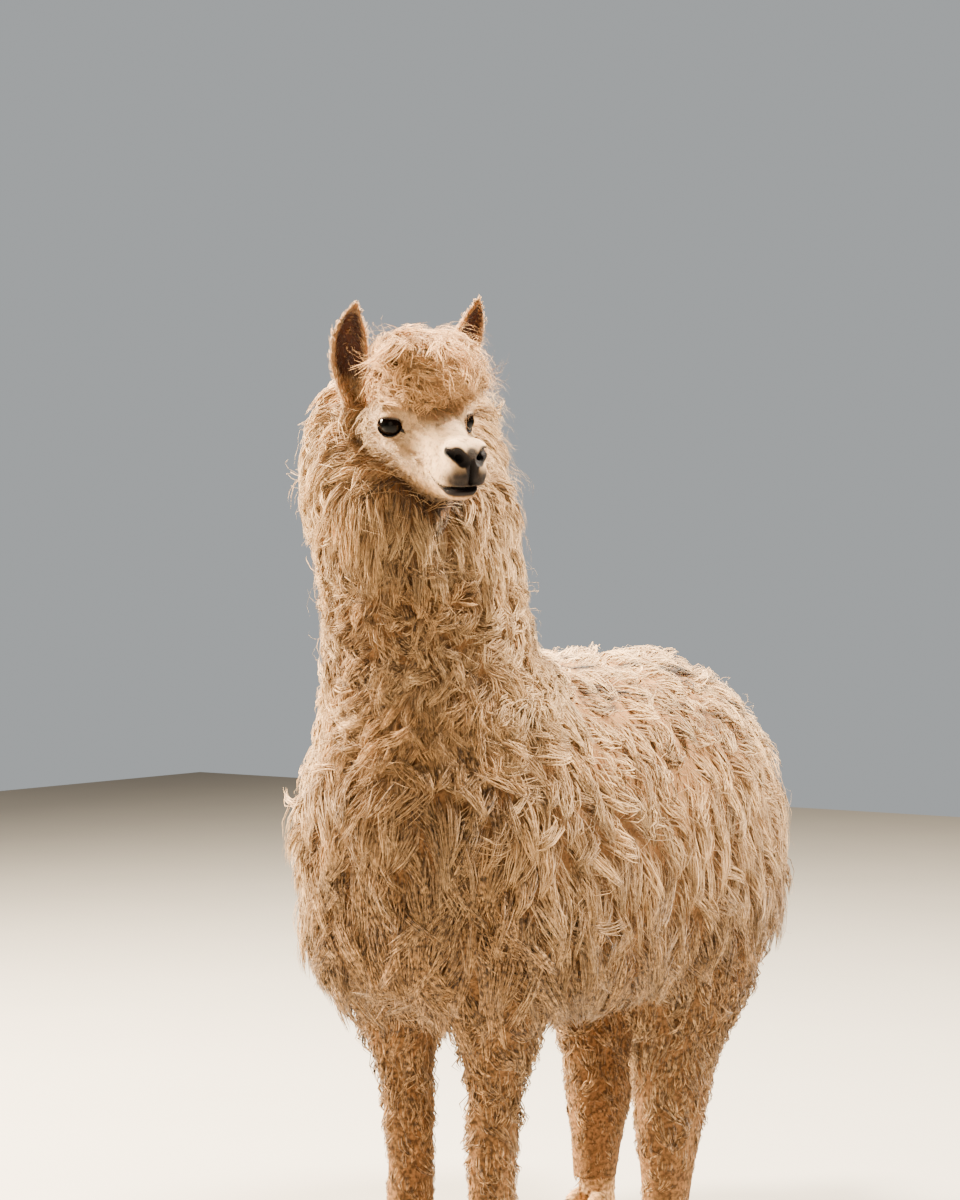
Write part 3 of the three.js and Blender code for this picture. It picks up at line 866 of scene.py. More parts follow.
def is_form(form, *names):
    """Which places belong to the named forms."""
    return np.isin(form, [FORMS.index(name) for name in names])


def bell(value, middle, width):
    """A soft hump, 1 at the middle."""
    return np.exp(-(((value - middle) / width) ** 2))


def most(*masks):
    """The strongest of several masks at each place."""
    return np.max(np.broadcast_arrays(*masks), axis=0)


def hollows(p, form):
    """Where the fleece lies open between its tufts, 0 to 1: the locks there are lower, and the
    colour takes painted shade.
    """
    small, large = wander(p * (1, 1, 0.8), 13, 33), wander(p * (1, 1, 0.75), 18, 36)
    field = np.where(is_form(form, "neck", "topknot", "head"), small, large)
    return ~is_form(form, "ear", "foot") * ramp(field, 0.05, 0.45)


def below_jaw(p, q, form):
    """How far the neck's wool under the jaw is from it, with a ragged edge; far elsewhere."""
    m, f, u = np.abs(q[:, 0]), -q[:, 1], q[:, 2]
    throat = (f > -45) & (f < 130) & (m < 75) & (u > -150) & (u < -70)
    near = np.flatnonzero(is_form(form, "neck") & throat)
    gap = np.full(len(p), 1e3)
    gap[near] = head_form(q[near]) + 3 * wander(p[near], 16, 39)
    return gap


def fleece_soil_and_shade(p, n, patch, chest):
    """Soil and painted shade in the fleece: painted shade on the underside, darker low down and
    behind the thighs, a stain with painted shade on the chest, and soil in specks.
    """
    y, z = p[:, 1], p[:, 2]
    # painted shade on surfaces facing down, and darker towards the bottom
    low = 0.5 * ramp(-n[:, 2], -0.1, 0.8) + 0.75 * ramp(790 - z, 0, 330)
    thigh = ramp(y, 40, 150) * ramp(540 - z, 0, 120) * ramp(z, 60, 150)
    specks = ramp(wander(p, 10, 17), 0.5, 0.62) * ramp(z, 420, 560)
    feet = ramp(100 - z, 0, 70)
    spread_out = low + 0.14 * ramp(patch, 0.35, 0.9) + 0.54 * chest
    return most(spread_out, thigh * (0.72 + 0.4 * patch), 0.6 * specks), 0.35 * feet


def face_soil_and_shade(p, q, head, face, fine, chin):
    """Grey-brown on the brow, in patches on the face and along the edge of the cheek's wool, with a
    painted shadow under the jaw.
    """
    m, f, u = np.abs(q[:, 0]), -q[:, 1], q[:, 2]
    brow = ramp(u, 18, 30) * ramp(10 - f, 0, 12) * (m < 75)
    border = bell(f - bare_edge(u), 4, 13) * ramp(-u, -20, 0)
    # painted shadow along the underside of the jaw
    throat = bell(u, -108, 9) * ramp(f, -10, 20) * (1 - ramp(f, 90, 120))
    mottle = 0.36 * ramp(wander(p, 17, 37), 0.05, 0.6) + 0.22 * ramp(wander(p, 5, 38), 0.15, 0.6)
    return most(
        head * 0.5 * brow,
        head * (0.05 + 0.55 * border * ramp(fine, -0.2, 0.5) + 0.25 * chin),
        0.7 * throat * ramp(fine, -0.5, 0.2),
        face * mottle * ramp(150 - f, 10, 50),
    )


def dark_skin(q, fine):
    """How black the bare skin of the nose, lips and lids is; in the nostrils, along the mouth's
    parting and on the lower lip it is partly painted shade.
    """
    f, u = -q[:, 1], q[:, 2]
    mirrored = np.stack([np.abs(q[:, 0]), q[:, 1], u], 1)
    nostril = np.minimum(nostril_form(mirrored), ball(mirrored, (0, -152, -20), (9, 10, 7)))
    pad = ball(mirrored, (0, -152, -8), (9, 11, 15))
    lips = ball(mirrored, (8, -146, -41), (27, 34, 19))
    cleft = ball(mirrored, (0, -151, -30), (11, 12, 22))
    parted = mouth_height(f) - u
    mouth = np.abs(parted) + 0.6 * np.maximum(0, 92 - f)
    masks = [
        # the nostrils: dark skin, partly painted shade inside the holes
        1 - ramp(nostril, 0.5, 5.0),
        0.8 * (1 - ramp(pad, -3, 4)),
        (0.86 + 0.12 * fine) * (1 - ramp(lips, -13, 6)),
        0.96 * (1 - ramp(cleft, -4, 4)),
        # the mouth's parting and the lower lip: dark skin, partly painted shade under the upper lip
        (1 - ramp(mouth, 1.5, 4.0)) * (f > 80),
        ramp(f, 104, 122) * ramp(parted, -1, 1) * (1 - ramp(parted, 8, 15)),
    ]
    for side in SIDES.values():
        out, nosewards, up = eye_places(q, side)
        depth = np.abs(np.linalg.norm(q - eye_centre(side), axis=1) - EYE["radius"])
        tear_duct = rod(np.stack([nosewards, up], 1), (17, -1), (27, -6), 3.2, 0.6)
        masks.append((out > 0) * (depth < 7) * (1 - ramp(lid_opening(q, side), 0.8, 3.4)))
        masks.append((out > 0) * (depth < 12) * (1 - ramp(tear_duct, -0.6, 1.6)))
    return most(*masks)


def ear_lining(q, n, form):
    """How bare and dark the inside of the ears is."""
    lining = np.zeros(len(q))
    for side in SIDES.values():
        here = np.flatnonzero(is_form(form, "ear") & (q[:, 0] * side > 0))
        share, a, _, _, front, _ = ear_places(q[here], side)
        inward = ((n[here] @ HEAD_AXES) * front).sum(1)
        middle = 1 - ramp(np.abs(a) / ear_half_width(np.clip(share, 0, 1)), 0.7, 0.93)
        ends = ramp(share, 0.04, 0.3) * (1 - ramp(share, 0.86, 0.97))
        lining[here] = middle * ramp(inward, 0.0, 0.4) * ends
    return lining


def markings(p, n, form):
    """Marks shared by skin and coat, 0 to 1: warmth, with painted warm shade; soil together with
    painted shade; dark bare skin, with a painted shadow under the jaw; and ear lining.
    """
    q = to_head(p)
    y, z, f, u = p[:, 1], p[:, 2], -q[:, 1], q[:, 2]
    head = is_form(form, "head")
    face = head * ramp(f - bare_edge(u), -8, 30)
    patch, fine = wander(p, 55, 5) + 0.5 * wander(p, 20, 8), wander(p, 7, 9)
    # the front of the chest and neck, darker and warmer: partly a stain, partly painted shade on
    # the side that faces the front
    chest = ramp(0.35 * n[:, 0] - n[:, 1], 0.45, 1.05) * ramp(1180 - z, 0, 120) * (y < -150)
    chin = ramp(-u, 52, 72)
    # painted shadow in the crease under the jaw, with a little dark debris
    jaw_shadow_and_debris = 1 - ramp(below_jaw(p, q, form), 7, 17)
    streaks = ramp(wander(p * (1, 0.45, 1), 15, 15), 0.3, 0.5) * ramp(z, 780, 900)
    streaks *= ramp(y, -190, -60)
    warmth = np.where(is_form(form, "topknot"), 0.95 + 0.25 * patch, 0.32 + 0.3 * patch)
    # warmer low down as painted warm bounce light, less warm along the top of the back, and warmer
    # on the chest's front as painted shade
    warmth += 0.4 * ramp(720 - z, 0, 260) - 0.3 * ramp(z, 780, 960) * (y > -230) + 0.45 * chest
    warmth += (0.1 + 0.12 * patch + 0.1 * fine + 0.4 * chin - warmth) * face
    soil_and_shade, feet_soil = fleece_soil_and_shade(p, n, patch, chest)
    # painted shade in the hollows between tufts, off the bare face
    soil_and_shade = most(soil_and_shade, 0.8 * streaks) + 0.62 * hollows(p, form) * (1 - face)
    soil_and_shade = most(soil_and_shade, face_soil_and_shade(p, q, head, face, fine, chin), jaw_shadow_and_debris, feet_soil)
    # dark bare skin, plus the painted shadow under the jaw and dark debris streaks on the back
    dark = np.clip(most(dark_skin(q, fine), 0.5 * jaw_shadow_and_debris, 0.6 * streaks), 0, 1)
    dark = (1 - (1 - dark) ** 2) * (is_form(form, "head", "neck") | (y > -190))
    return np.clip(np.stack([warmth, soil_and_shade, dark, ear_lining(q, n, form)], 1), 0, 1)


class Skin:
    """The finished skin with what the coat needs to know at each point."""

    def __init__(self, points, triangles):
        self.points, self.triangles = points, triangles
        self.normals = unit(field_slope(points)[1])
        found = body_forms(points)
        self.form = np.argmin(np.stack([found[name] for name in FORMS]), axis=0)
        a, b, c = (points[triangles[:, i]] for i in range(3))
        self.areas = np.linalg.norm(np.cross(b - a, c - a), axis=1) / 2
        self.middles = (a + b + c) / 3

    def scatter(self, weight, count):
        """Roots spread evenly in step with a weight given at the triangles."""
        share = np.cumsum(self.areas * weight)
        picks = (np.arange(count) + rng.random(count)) / count * share[-1]
        chosen = np.minimum(np.searchsorted(share, picks), len(share) - 1)
        a, b = rng.random((2, count))
        fold = a + b > 1
        a, b = np.where(fold, 1 - a, a), np.where(fold, 1 - b, b)
        corners = self.triangles[chosen]
        shares = np.stack([1 - a - b, a, b], 1)[..., None]
        return (
            (self.points[corners] * shares).sum(1),
            unit((self.normals[corners] * shares).sum(1)),
            self.form[corners[:, 0]],
        )


def over_eye(path):
    """Which locks pass in front of an eye's opening."""
    q = to_head(path)
    shares = (0, 0.2, 0.4, 0.6, 0.8, 1)
    q = np.concatenate([q[:, :-1] + (q[:, 1:] - q[:, :-1]) * share for share in shares], axis=1)
    crosses = np.zeros(len(path), bool)
    for side in SIDES.values():
        near = np.flatnonzero(np.linalg.norm(q - eye_centre(side), axis=2).min(1) < 60)
        flat = q[near].reshape(-1, 3)
        out = eye_places(flat, side)[0]
        margin = 2.4 + 0.12 * np.maximum(out - EYE["radius"], 0)
        over = (out > 4) & (lid_opening(flat, side) < margin)
        crosses[near] |= over.reshape(len(near), q.shape[1]).any(1)
    return crosses


def clump_leaders(p, clump):
    """For each root, the nearest of a few roots that its clump gathers round."""
    picks = rng.permutation(len(p))[:max(2, int(len(p) / clump))]
    tree = KDTree(len(picks))
    for number, pick in enumerate(picks):
        tree.insert(p[pick], number)
    tree.balance()
    return picks[[tree.find(place)[1] for place in p]]


def trace_locks(roots, style, t):
    """Each lock's path through the shares t of its length, its half width and its chance."""
    p, n, form = roots
    count = len(p)
    broad = rng.random(count) < style["broad"]
    leader = clump_leaders(p, style["clump"])
    traits = ("length", "height", "width", "curl", "waves", "droop", "pull", "radius")
    look = {key: np.broadcast_to(np.asarray(style[key], float), count) for key in traits}
    look = {key: values[:, None, None] for key, values in look.items()}
    stray = rng.normal(0, 1, (count, 3))
    stray = (0.75 * stray[leader] + 0.4 * stray) * style["stray"]
    lie = along_skin(unit(style["lie"]) + stray, n)[:, None]
    across, n = np.cross(n[:, None], lie), n[:, None]
    tt = t[None, :, None]
    length = look["length"]
    height = 0.68 + 0.45 * rng.random(count)[leader]
    height = height * (1 - 0.45 * hollows(p[leader], form)) * np.where(broad, 0.75, 1.05)
    height = look["height"] * height[:, None, None]
    path = p[:, None] + n * (height * np.sin(np.minimum(1, 1.5 * tt) * np.pi / 2) - 2)
    path += lie * (length * tt) - n * (length * tt) ** 2 / (2 * look["radius"])
    path[..., 2] -= (length * look["droop"] * tt**2)[..., 0]
    path += (path[leader] - path) * look["pull"] * tt**1.3
    phase = (rng.random(count) * 2 * np.pi)[leader][:, None, None]
    turn = 2 * np.pi * look["waves"] * tt + phase + rng.normal(0, 0.5, (count, 1, 1))
    wave = look["curl"] * np.minimum(1, 2.5 * tt)
    path += across * np.sin(turn) * wave + n * np.cos(turn) * wave * 0.7
    bend = style["bend"] * rng.normal(0, 1, count)[leader][:, None, None]
    path += across * length * bend * tt**2
    path[..., 2] = np.maximum(path[..., 2], 3)
    chance = 0.7 * rng.random(count)[leader] + 0.3 * rng.random(count)
    return path, look["width"][:, 0, 0] * np.where(broad, 1.5, 0.7), chance


def wrap_locks(path, n, width, t, softness):
    """Three-sided, tapering solids round the paths: their points, and the way each one faces."""
    count, rings = len(path), len(t) - 1
    tangent = unit(np.gradient(path, axis=1))
    side = unit(np.cross(tangent, n[:, None] + rng.normal(0, 0.35, (count, 1, 3))))
    top = np.cross(side, tangent)[:, :rings]
    side = side[:, :rings]
    body = width[:, None] * (0.75 + 1.0 * t - 0.95 * t**2) * (1 - t**2.6) ** 0.9
    body = body[:, :rings, None]
    points, facing = [], []
    for bearing in 2 * np.pi * (np.arange(3) / 3 + 0.25):
        c, s = math.cos(bearing), math.sin(bearing)
        points.append(path[:, :rings] + (side * c + top * 0.62 * s) * body)
        facing.append(side * c + top * s)
    points, facing = (
        np.concatenate([np.stack(ring, 2).reshape(count, -1, 3), tip[:, rings:]], axis=1)
        for ring, tip in ((points, path), (facing, tangent))
    )
    return points, unit(facing * 0.62 + n[:, None] * softness)


def lock_faces(rings):
    """The triangles of one lock: its sides, its tip and the cap at its root."""
    faces = []
    for r in range(rings - 1):
        for k in range(3):
            a, b = 3 * r + k, 3 * r + (k + 1) % 3
            faces += [(a, b + 3, b), (a, a + 3, b + 3)]
    last = 3 * (rings - 1)
    return faces + [(last + (k + 1) % 3, last + k, 3 * rings) for k in range(3)] + [(0, 1, 2)]


BAKE_PATCH = 0.003  # the size of each lock's patch on the unwrapped sheet


def comb(name, roots, style, rings, material):
    """One piece of coat: a closed lock of three sides for every root."""
    t = (np.arange(rings + 1) / rings) ** 0.9
    path, width, chance = trace_locks(roots, style, t)
    keep = ~over_eye(path)
    p, n, form, path, width, chance = (a[keep] for a in (*roots, path, width, chance))
    points, facing = wrap_locks(path, n, width, t, style["softness"])
    per_lock = 3 * rings + 1
    starts = np.arange(len(p))[:, None, None] * per_lock
    triangles = (np.array(lock_faces(rings))[None] + starts).reshape(-1, 3)
    mesh = mesh_from(name, to_metres(points.reshape(-1, 3)), triangles)
    mesh.normals_split_custom_set_from_vertices(facing.reshape(-1, 3))
    around = np.append(np.tile(np.arange(3) / 3, rings), 0.5)
    along = np.append(np.repeat(t[:rings], 3), 1.0)
    lock = np.stack(np.broadcast_arrays(around[None], along[None], chance[:, None]), axis=-1)
    add_values(mesh, "lock", lock.reshape(-1, 3))
    marks = markings(p, n, form)
    add_values(mesh, "marks", np.repeat(marks[:, :3], per_lock, axis=0))
    add_values(mesh, "pink", np.repeat(marks[:, 3], per_lock))
    patch = np.stack(np.broadcast_arrays(around[None] - 0.5, along[None] - 0.5), -1) * BAKE_PATCH
    places = (unwrap(p, form)[:, None] + patch).reshape(-1, 2)
    uv = mesh.uv_layers.new(name="OFBake")
    uv.data.foreach_set("uv", places[triangles.ravel()].astype(np.float32).ravel())
    piece = place_piece(name, mesh, material)
    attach(piece, "root")


def head_directions(p, q_directions):
    """Directions given in the head's frame, turned into the drawing's."""
    return np.broadcast_to(q_directions, (len(p), 3)) @ HEAD_AXES.T


def tufts(lie, **traits):
    """A style of locks; a (middle, low, high) trait varies between them from lock to lock."""
    style = {"lie": lie, "broad": 0.42, "stray": 0.35, "bend": 0.3, "softness": 0.5, "droop": 0.0}
    for name, value in traits.items():
        if isinstance(value, tuple):
            middle, low, high = value
            value = middle * rng.uniform(low, high, len(lie))
        style[name] = value
    return style


def trunk_style(p, n):
    lower = 1 - ramp(p[:, 2], 640, 900)
    chest = 1 - ramp(p[:, 1], -420, -200)
    shaggy = np.maximum(lower, chest)
    flat = np.maximum(n[:, 2], 0)
    lie = np.stack([0.7 * np.sign(p[:, 0]) * flat, 0.5 - 0.3 * chest, -1.0 + 0.3 * flat], 1)
    return tufts(
        lie + 0.7 * swirl(p, 80, 20) + 0.65 * swirl(p, 32, 30),
        length=(37 + 25 * shaggy, 0.65, 1.2),
        height=((23 + 4 * shaggy) * (1 + 0.3 * wander(p, 24, 25)), 0.6, 1.08),
        width=(1.25, 0.7, 1.35), curl=(1, 2.0, 4.2), waves=(1, 0.5, 0.9),
        droop=0.1 + 0.3 * lower, pull=(0.86, 0.8, 1.12), clump=17, radius=260,
    )


def neck_style(p, n):
    low = 1 - ramp(p[:, 2], 900, 1040)
    return tufts(
        np.array([0, 0.1, -0.8]) + 0.9 * swirl(p, 52, 40) + 0.6 * swirl(p, 19, 50),
        length=(30 + 18 * low, 0.7, 1.2),
        height=((18 + 5 * low) * (1 + 0.3 * wander(p, 18, 45)), 0.6, 1.1),
        width=(1.05, 0.7, 1.3), curl=(2.8, 0.5, 1.3), waves=(1, 0.6, 1.0),
        bend=0.4, droop=0.12, pull=(0.88, 0.8, 1.1), clump=15, radius=150,
    )


def bib_style(p, n):
    puffed = ramp(p[:, 2], 1120, 1165)
    return tufts(
        np.array([0, 0, -1.0]) + 0.3 * swirl(p, 40, 60),
        length=(60, 0.6, 1.15), height=(21 + 9 * puffed, 0.5, 1.15), width=(1.15, 0.7, 1.3),
        curl=(2.4, 0.4, 1.2), waves=0.6, bend=0.16, stray=0.16, droop=0.25,
        pull=(0.85, 0.7, 1.1), clump=14, radius=190,
    )


def ruff_style(p, n):
    q = to_head(p)
    away = unit(np.stack([q[:, 0], np.full(len(p), 26.0), q[:, 2] + 18], 1))
    return tufts(
        head_directions(p, away) + 0.5 * swirl(p, 38, 70) + np.array([0, 0, -0.35]),
        length=(56, 0.6, 1.2), height=(21, 0.5, 1.15), width=(1.2, 0.7, 1.3),
        curl=(3.4, 0.5, 1.2), waves=(1, 0.5, 0.9), bend=0.22, stray=0.2, droop=0.15,
        pull=(0.92, 0.8, 1.05), clump=22, radius=120,
    )


def cheek_style(p, n):
    q = to_head(p)
    above = ramp(q[:, 2], 16, 30)
    away = unit(np.stack([q[:, 0] * 0.8, np.full(len(p), 40.0), q[:, 2] + 30], 1))
    return tufts(
        head_directions(p, away) + 0.8 * swirl(p, 20, 80),
        length=(24 - 6 * above, 0.6, 1.3), height=(9 - 1 * above, 0.5, 1.3),
        width=(1.0, 0.7, 1.3), curl=(1.4 + 1.2 * above, 0.5, 1.3), waves=0.8, droop=0.05,
        pull=(0.7, 0.7, 1.1), clump=8, radius=70,
    )


def topknot_style(p, n):
    q = to_head(p)
    fore = ramp(-q[:, 1], -50, 30)
    fall = np.stack([0.3 + 0.5 * q[:, 0] / 60, -0.6 - 0.3 * fore, -0.12 * fore + 0.25], 1)
    return tufts(
        head_directions(p, fall) + 0.6 * swirl(p, 30, 90),
        length=(56 - 16 * fore, 0.6, 1.25), height=(25, 0.5, 1.1), width=(1.0, 0.7, 1.3),
        curl=(5.5, 0.5, 1.2), waves=(1, 0.7, 1.2), bend=0.4, droop=0.12,
        pull=(0.9, 0.8, 1.08), clump=18, radius=70,
    )


def face_style(p, n):
    q = to_head(p)
    back = ramp(-q[:, 1], 20, 120)
    edge = 1 - ramp(-q[:, 1] - bare_edge(q[:, 2]), 0, 26)
    lie = head_directions(p, np.array([0, 1, -0.3])) + head_directions(p, q * (1, 0, 1)) * 0.006
    from_eyes = [np.linalg.norm(q - eye_centre(side), axis=1) for side in SIDES.values()]
    near_eye = most(*(bell(away, 21, 9) for away in from_eyes))
    return tufts(
        lie + 0.25 * swirl(p, 20, 100),
        length=((10.5 + 9 * edge - 4.5 * back) * (1 - 0.5 * near_eye), 0.7, 1.3),
        height=(4.4 + 4.5 * edge - 2.2 * back, 0.3, 1.4),
        width=(0.44 + 0.3 * edge - 0.1 * back, 0.7, 1.3),
        broad=0.15, bend=0.2, softness=0.6, curl=0.8, waves=0.5, pull=0.35, clump=5,
        stray=0.45, radius=60,
    )


def ear_style(p, n):
    q = to_head(p)
    facing = n @ HEAD_AXES
    edge = 1 - np.abs(facing[:, 1])
    inside = ramp(-facing[:, 1], 0.1, 0.6)
    up = np.stack([np.sign(q[:, 0]) * 0.2, np.zeros(len(p)), np.ones(len(p))], 1)
    return tufts(
        head_directions(p, up) + 0.25 * swirl(p, 24, 110) + 0.5 * n * edge[:, None],
        length=(12 + 3 * inside - 8 * ramp(q[:, 2], 100, 150), 0.6, 1.3),
        height=(2.5 + 4.5 * edge + 1.5 * inside, 0.5, 1.3), width=(0.75, 0.7, 1.3),
        curl=0.7, waves=0.8, bend=0.12, stray=0.2, pull=0.4, clump=5, radius=90,
    )


def leg_style(p, n):
    high = ramp(p[:, 2], 60, 380)
    return tufts(
        np.array([0, 0.12, -1.0]) + 0.5 * swirl(p, 45, 120),
        length=(14 + 26 * high, 0.7, 1.2), height=(4.5 + 14 * high, 0.5, 1.1),
        width=(1.1 + 0.5 * high, 0.7, 1.3), curl=(0.5 + 1.8 * high, 0.5, 1.3),
        waves=0.7, bend=0.2, droop=0.05, pull=0.6, clump=8, radius=60,
    )


def tail_style(p, n):
    return tufts(
        np.array([0, 0.1, -1.0]) + 0.3 * swirl(p, 50, 130),
        length=(72, 0.6, 1.1), height=(14, 0.4, 1.1), width=(1.9, 0.7, 1.3), curl=2.6,
        waves=0.9, bend=0.15, droop=0.15, pull=0.7, clump=9, radius=200,
    )


def wisp_style(p, n):
    lean = np.array([0, 0.2, -0.5]) + head_directions(p, np.array([0.5, 0, 0.2]))
    return tufts(
        lean + 0.8 * swirl(p, 60, 140),
        length=(62, 0.5, 1.3), height=(32, 0.7, 1.3), width=(0.34, 0.7, 1.3),
        curl=(3.5, 0.3, 1.3), waves=(1.2, 0.5, 1.5), droop=0.1, pull=0.3, clump=6, radius=150,
    )


def coat_zones(skin):
    """How thickly each kind of coat grows at every triangle of the skin."""
    p = skin.middles
    form = skin.form[skin.triangles[:, 0]]
    normal = skin.normals[skin.triangles[:, 0]]
    q = to_head(p)
    z, f, u = p[:, 2], -q[:, 1], q[:, 2]
    part = {name: (form == number).astype(float) for number, name in enumerate(FORMS)}
    marks = markings(p, normal, form)
    bare = part["head"] * ramp(f - bare_edge(u) + 5 * wander(p, 12, 61), -5, 6)
    clear = np.ones(len(p))
    for side in SIDES.values():
        away = np.linalg.norm(q - eye_centre(side), axis=1)
        out, nosewards, up = eye_places(q, side)
        corner = rod(np.stack([nosewards, up], 1), (10, 2), (28, 1), 12, 7)
        lids = (lid_opening(q, side) < 3.2) | (corner < 0)
        clear[(away < EYE["radius"] + 16) & (out > 0) & lids] = 0
    facing = normal @ HEAD_AXES
    front = ramp(-facing[:, 1], 0.0, 0.5)
    part["neck"] *= 0.4 + 0.6 * ramp(below_jaw(p, q, form), 7, 14)
    bib = part["neck"] * front * ramp(z + 14 * wander(p, 30, 62), 1080, 1105)
    bib *= 1 - ramp(z, 1185, 1215)
    skull = part["head"] * (1 - bare)
    ruff = part["neck"] * (1 - bib) * ramp(z, 1150, 1200)
    neck = part["neck"] * (1 - bib) * (1 - ramp(z, 1150, 1200))
    return {
        "trunk": part["trunk"],
        "neck": neck,
        "bib": bib,
        "ruff": ruff + skull * ramp(bare_edge(u) - f, 4, 22) * (1 - ramp(u, 10, 24)) * clear,
        "cheek": (skull + part["neck"] * front * ramp(z, 1190, 1215) * 0.6) * clear,
        "topknot": part["topknot"],
        "face": bare * clear * (1 - ramp(marks[:, 2], 0.3, 0.8)) * (1 + 0.6 * ramp(f, 20, 100)),
        "ear": part["ear"] * (1.25 - 0.5 * marks[:, 3]),
        "leg": part["leg"] + part["foot"] * 0.9 * ramp(z, 16, 40),
        "tail": part["tail"],
        "wisp": part["topknot"] * 7 + ruff * 1.2 + bib + 0.35 * part["neck"] + 0.3 * part["trunk"],
    }


# ---- Finishes ----
def add_node(tree, kind, values=None, **settings):
    """A node with its settings, and its sockets filled by constants or links."""
    node = tree.nodes.new(kind)
    for key, value in settings.items():
        setattr(node, key, value)
    for key, value in (values or {}).items():
        if isinstance(value, bpy.types.NodeSocket):
            tree.links.new(value, node.inputs[key])
        else:
            node.inputs[key].default_value = value
    return node


def add_sockets(tree, inputs, outputs):
    """Named sockets at both ends of a node group, and the inputs' identifiers."""
    identifiers = {}
    for label, kind, default in inputs:
        socket = tree.interface.new_socket(label, in_out="INPUT", socket_type="NodeSocket" + kind)
        if default is not None:
            socket.default_value = default
        identifiers[label] = socket.identifier
    for label, kind in outputs:
        tree.interface.new_socket(label, in_out="OUTPUT", socket_type="NodeSocket" + kind)
    return identifiers


def new_group(name, inputs, outputs):
    """A shader node group with named sockets, and its two ends."""
    tree = bpy.data.node_groups.new(name, "ShaderNodeTree")
    add_sockets(tree, inputs, outputs)
    ends = tree.nodes.new("NodeGroupInput"), tree.nodes.new("NodeGroupOutput")
    return tree, ends[0].outputs, ends[1].inputs


def put(tree, kind, values=None, **settings):
    return add_node(tree, "ShaderNode" + kind, values, **settings)


def blend(tree, factor, first, second, kind="MIX"):
    values = {0: factor, 6: first, 7: second}
    return put(tree, "Mix", values, data_type="RGBA", blend_type=kind).outputs[2]


def math_of(tree, kind, *values):
    return put(tree, "Math", dict(enumerate(values)), operation=kind).outputs[0]


def vector_math(tree, kind, *values):
    return put(tree, "VectorMath", dict(enumerate(values)), operation=kind).outputs


def noise(tree, place, scale, detail=2.0, distortion=0.0):
    values = {"Vector": place, "Scale": scale, "Detail": detail, "Distortion": distortion}
    return put(tree, "TexNoise", values).outputs["Fac"]


def spread(tree, value, start, end, first=0.0, last=1.0):
    """A value's way from start to end, drawn out or in from first to last."""
    values = {0: value, 1: start, 2: end, 3: first, 4: last}
    return put(tree, "MapRange", values).outputs[0]


def parts_of(tree, vector):
    return put(tree, "SeparateXYZ", {0: vector}).outputs


def object_place(tree):
    return put(tree, "TexCoord").outputs["Object"]


def read_value(tree, name, output="Vector"):
    return put(tree, "Attribute", attribute_name=name).outputs[output]


def colour(red, green, blue):
    return (red, green, blue, 1.0)


CREAM, GINGER = colour(0.86, 0.58, 0.295), colour(0.76, 0.42, 0.16)
SHADED, FACE_CREAM = colour(0.22, 0.10, 0.035), colour(0.68, 0.465, 0.27)
CROWN_CREAM, CROWN_GINGER = colour(0.95, 0.65, 0.33), colour(0.90, 0.50, 0.20)
SOIL_AND_SHADE, DARK_SKIN = colour(0.075, 0.038, 0.016), colour(0.018, 0.015, 0.015)
EAR_PINK = colour(0.045, 0.020, 0.014)


def make_markings_group():
    """The colours of skin and coat from the shared marks, with painted shade towards each lock's
    root and on the skin under the coat.
    """
    tree, given, result = new_group(
        "alpaca_markings",
        [
            ("Marks", "Vector", None), ("Pink", "Float", 0.0), ("Chance", "Float", 0.5),
            ("Along", "Float", 0.7), ("Cream", "Color", CREAM), ("Ginger", "Color", GINGER),
            ("Painted Root Shade", "Float", 0.5), ("Palest", "Float", 1.22), ("Deepest", "Float", 0.8),
        ],
        [("Colour", "Color")],
    )
    parts = parts_of(tree, given["Marks"])
    place = object_place(tree)
    warmth = math_of(tree, "MULTIPLY_ADD", noise(tree, place, 28.0, 4.0), 0.5, -0.25)
    warmth = math_of(tree, "ADD", warmth, parts[0])
    base = blend(tree, warmth, given["Cream"], given["Ginger"])
    tone = spread(tree, given["Chance"], 0.0, 1.0, given["Deepest"], given["Palest"])
    base = blend(tree, 1.0, base, tone, "MULTIPLY")
    # painted shade: each lock darkens towards its root, and so does the skin where the coat covers
    # it
    root_shade = spread(tree, given["Along"], 0.0, 0.75, 1.0, 0.0)
    base = blend(tree, math_of(tree, "MULTIPLY", root_shade, given["Painted Root Shade"]), base, SHADED)
    grit = spread(tree, noise(tree, place, 160.0, 3.0), 0.35, 0.62)
    # soil and painted shade both blend towards dark brown
    base = blend(tree, math_of(tree, "MULTIPLY", parts[1], grit), base, SOIL_AND_SHADE)
    base = blend(tree, given["Pink"], base, EAR_PINK)
    tree.links.new(blend(tree, parts[2], base, DARK_SKIN), result["Colour"])
    return tree


def make_fibre_group():
    """Fine fibres along each lock: a height for the bump and a light-and-dark streak."""
    tree, given, result = new_group(
        "wool_fibres",
        [
            ("Lock", "Vector", None), ("Fibres", "Float", 9.0), ("Crimp", "Float", 3.0),
            ("Bends", "Float", 60.0),
        ],
        [("Height", "Float"), ("Streak", "Float")],
    )
    parts = parts_of(tree, given["Lock"])
    scales = enumerate((given["Fibres"], given["Crimp"], 97.0))
    scaled = {axis: math_of(tree, "MULTIPLY", parts[axis], scale) for axis, scale in scales}
    fibre = noise(tree, put(tree, "CombineXYZ", scaled).outputs[0], 1.0, 2.0, 0.4)
    bend = math_of(tree, "MULTIPLY", parts[1], given["Bends"])
    bend = math_of(tree, "ADD", bend, math_of(tree, "MULTIPLY", fibre, 5.0))
    height = math_of(tree, "MULTIPLY_ADD", math_of(tree, "SINE", bend), 0.16, fibre)
    tree.links.new(height, result["Height"])
    tree.links.new(spread(tree, fibre, 0.3, 0.7, 0.7, 1.12), result["Streak"])
    return tree


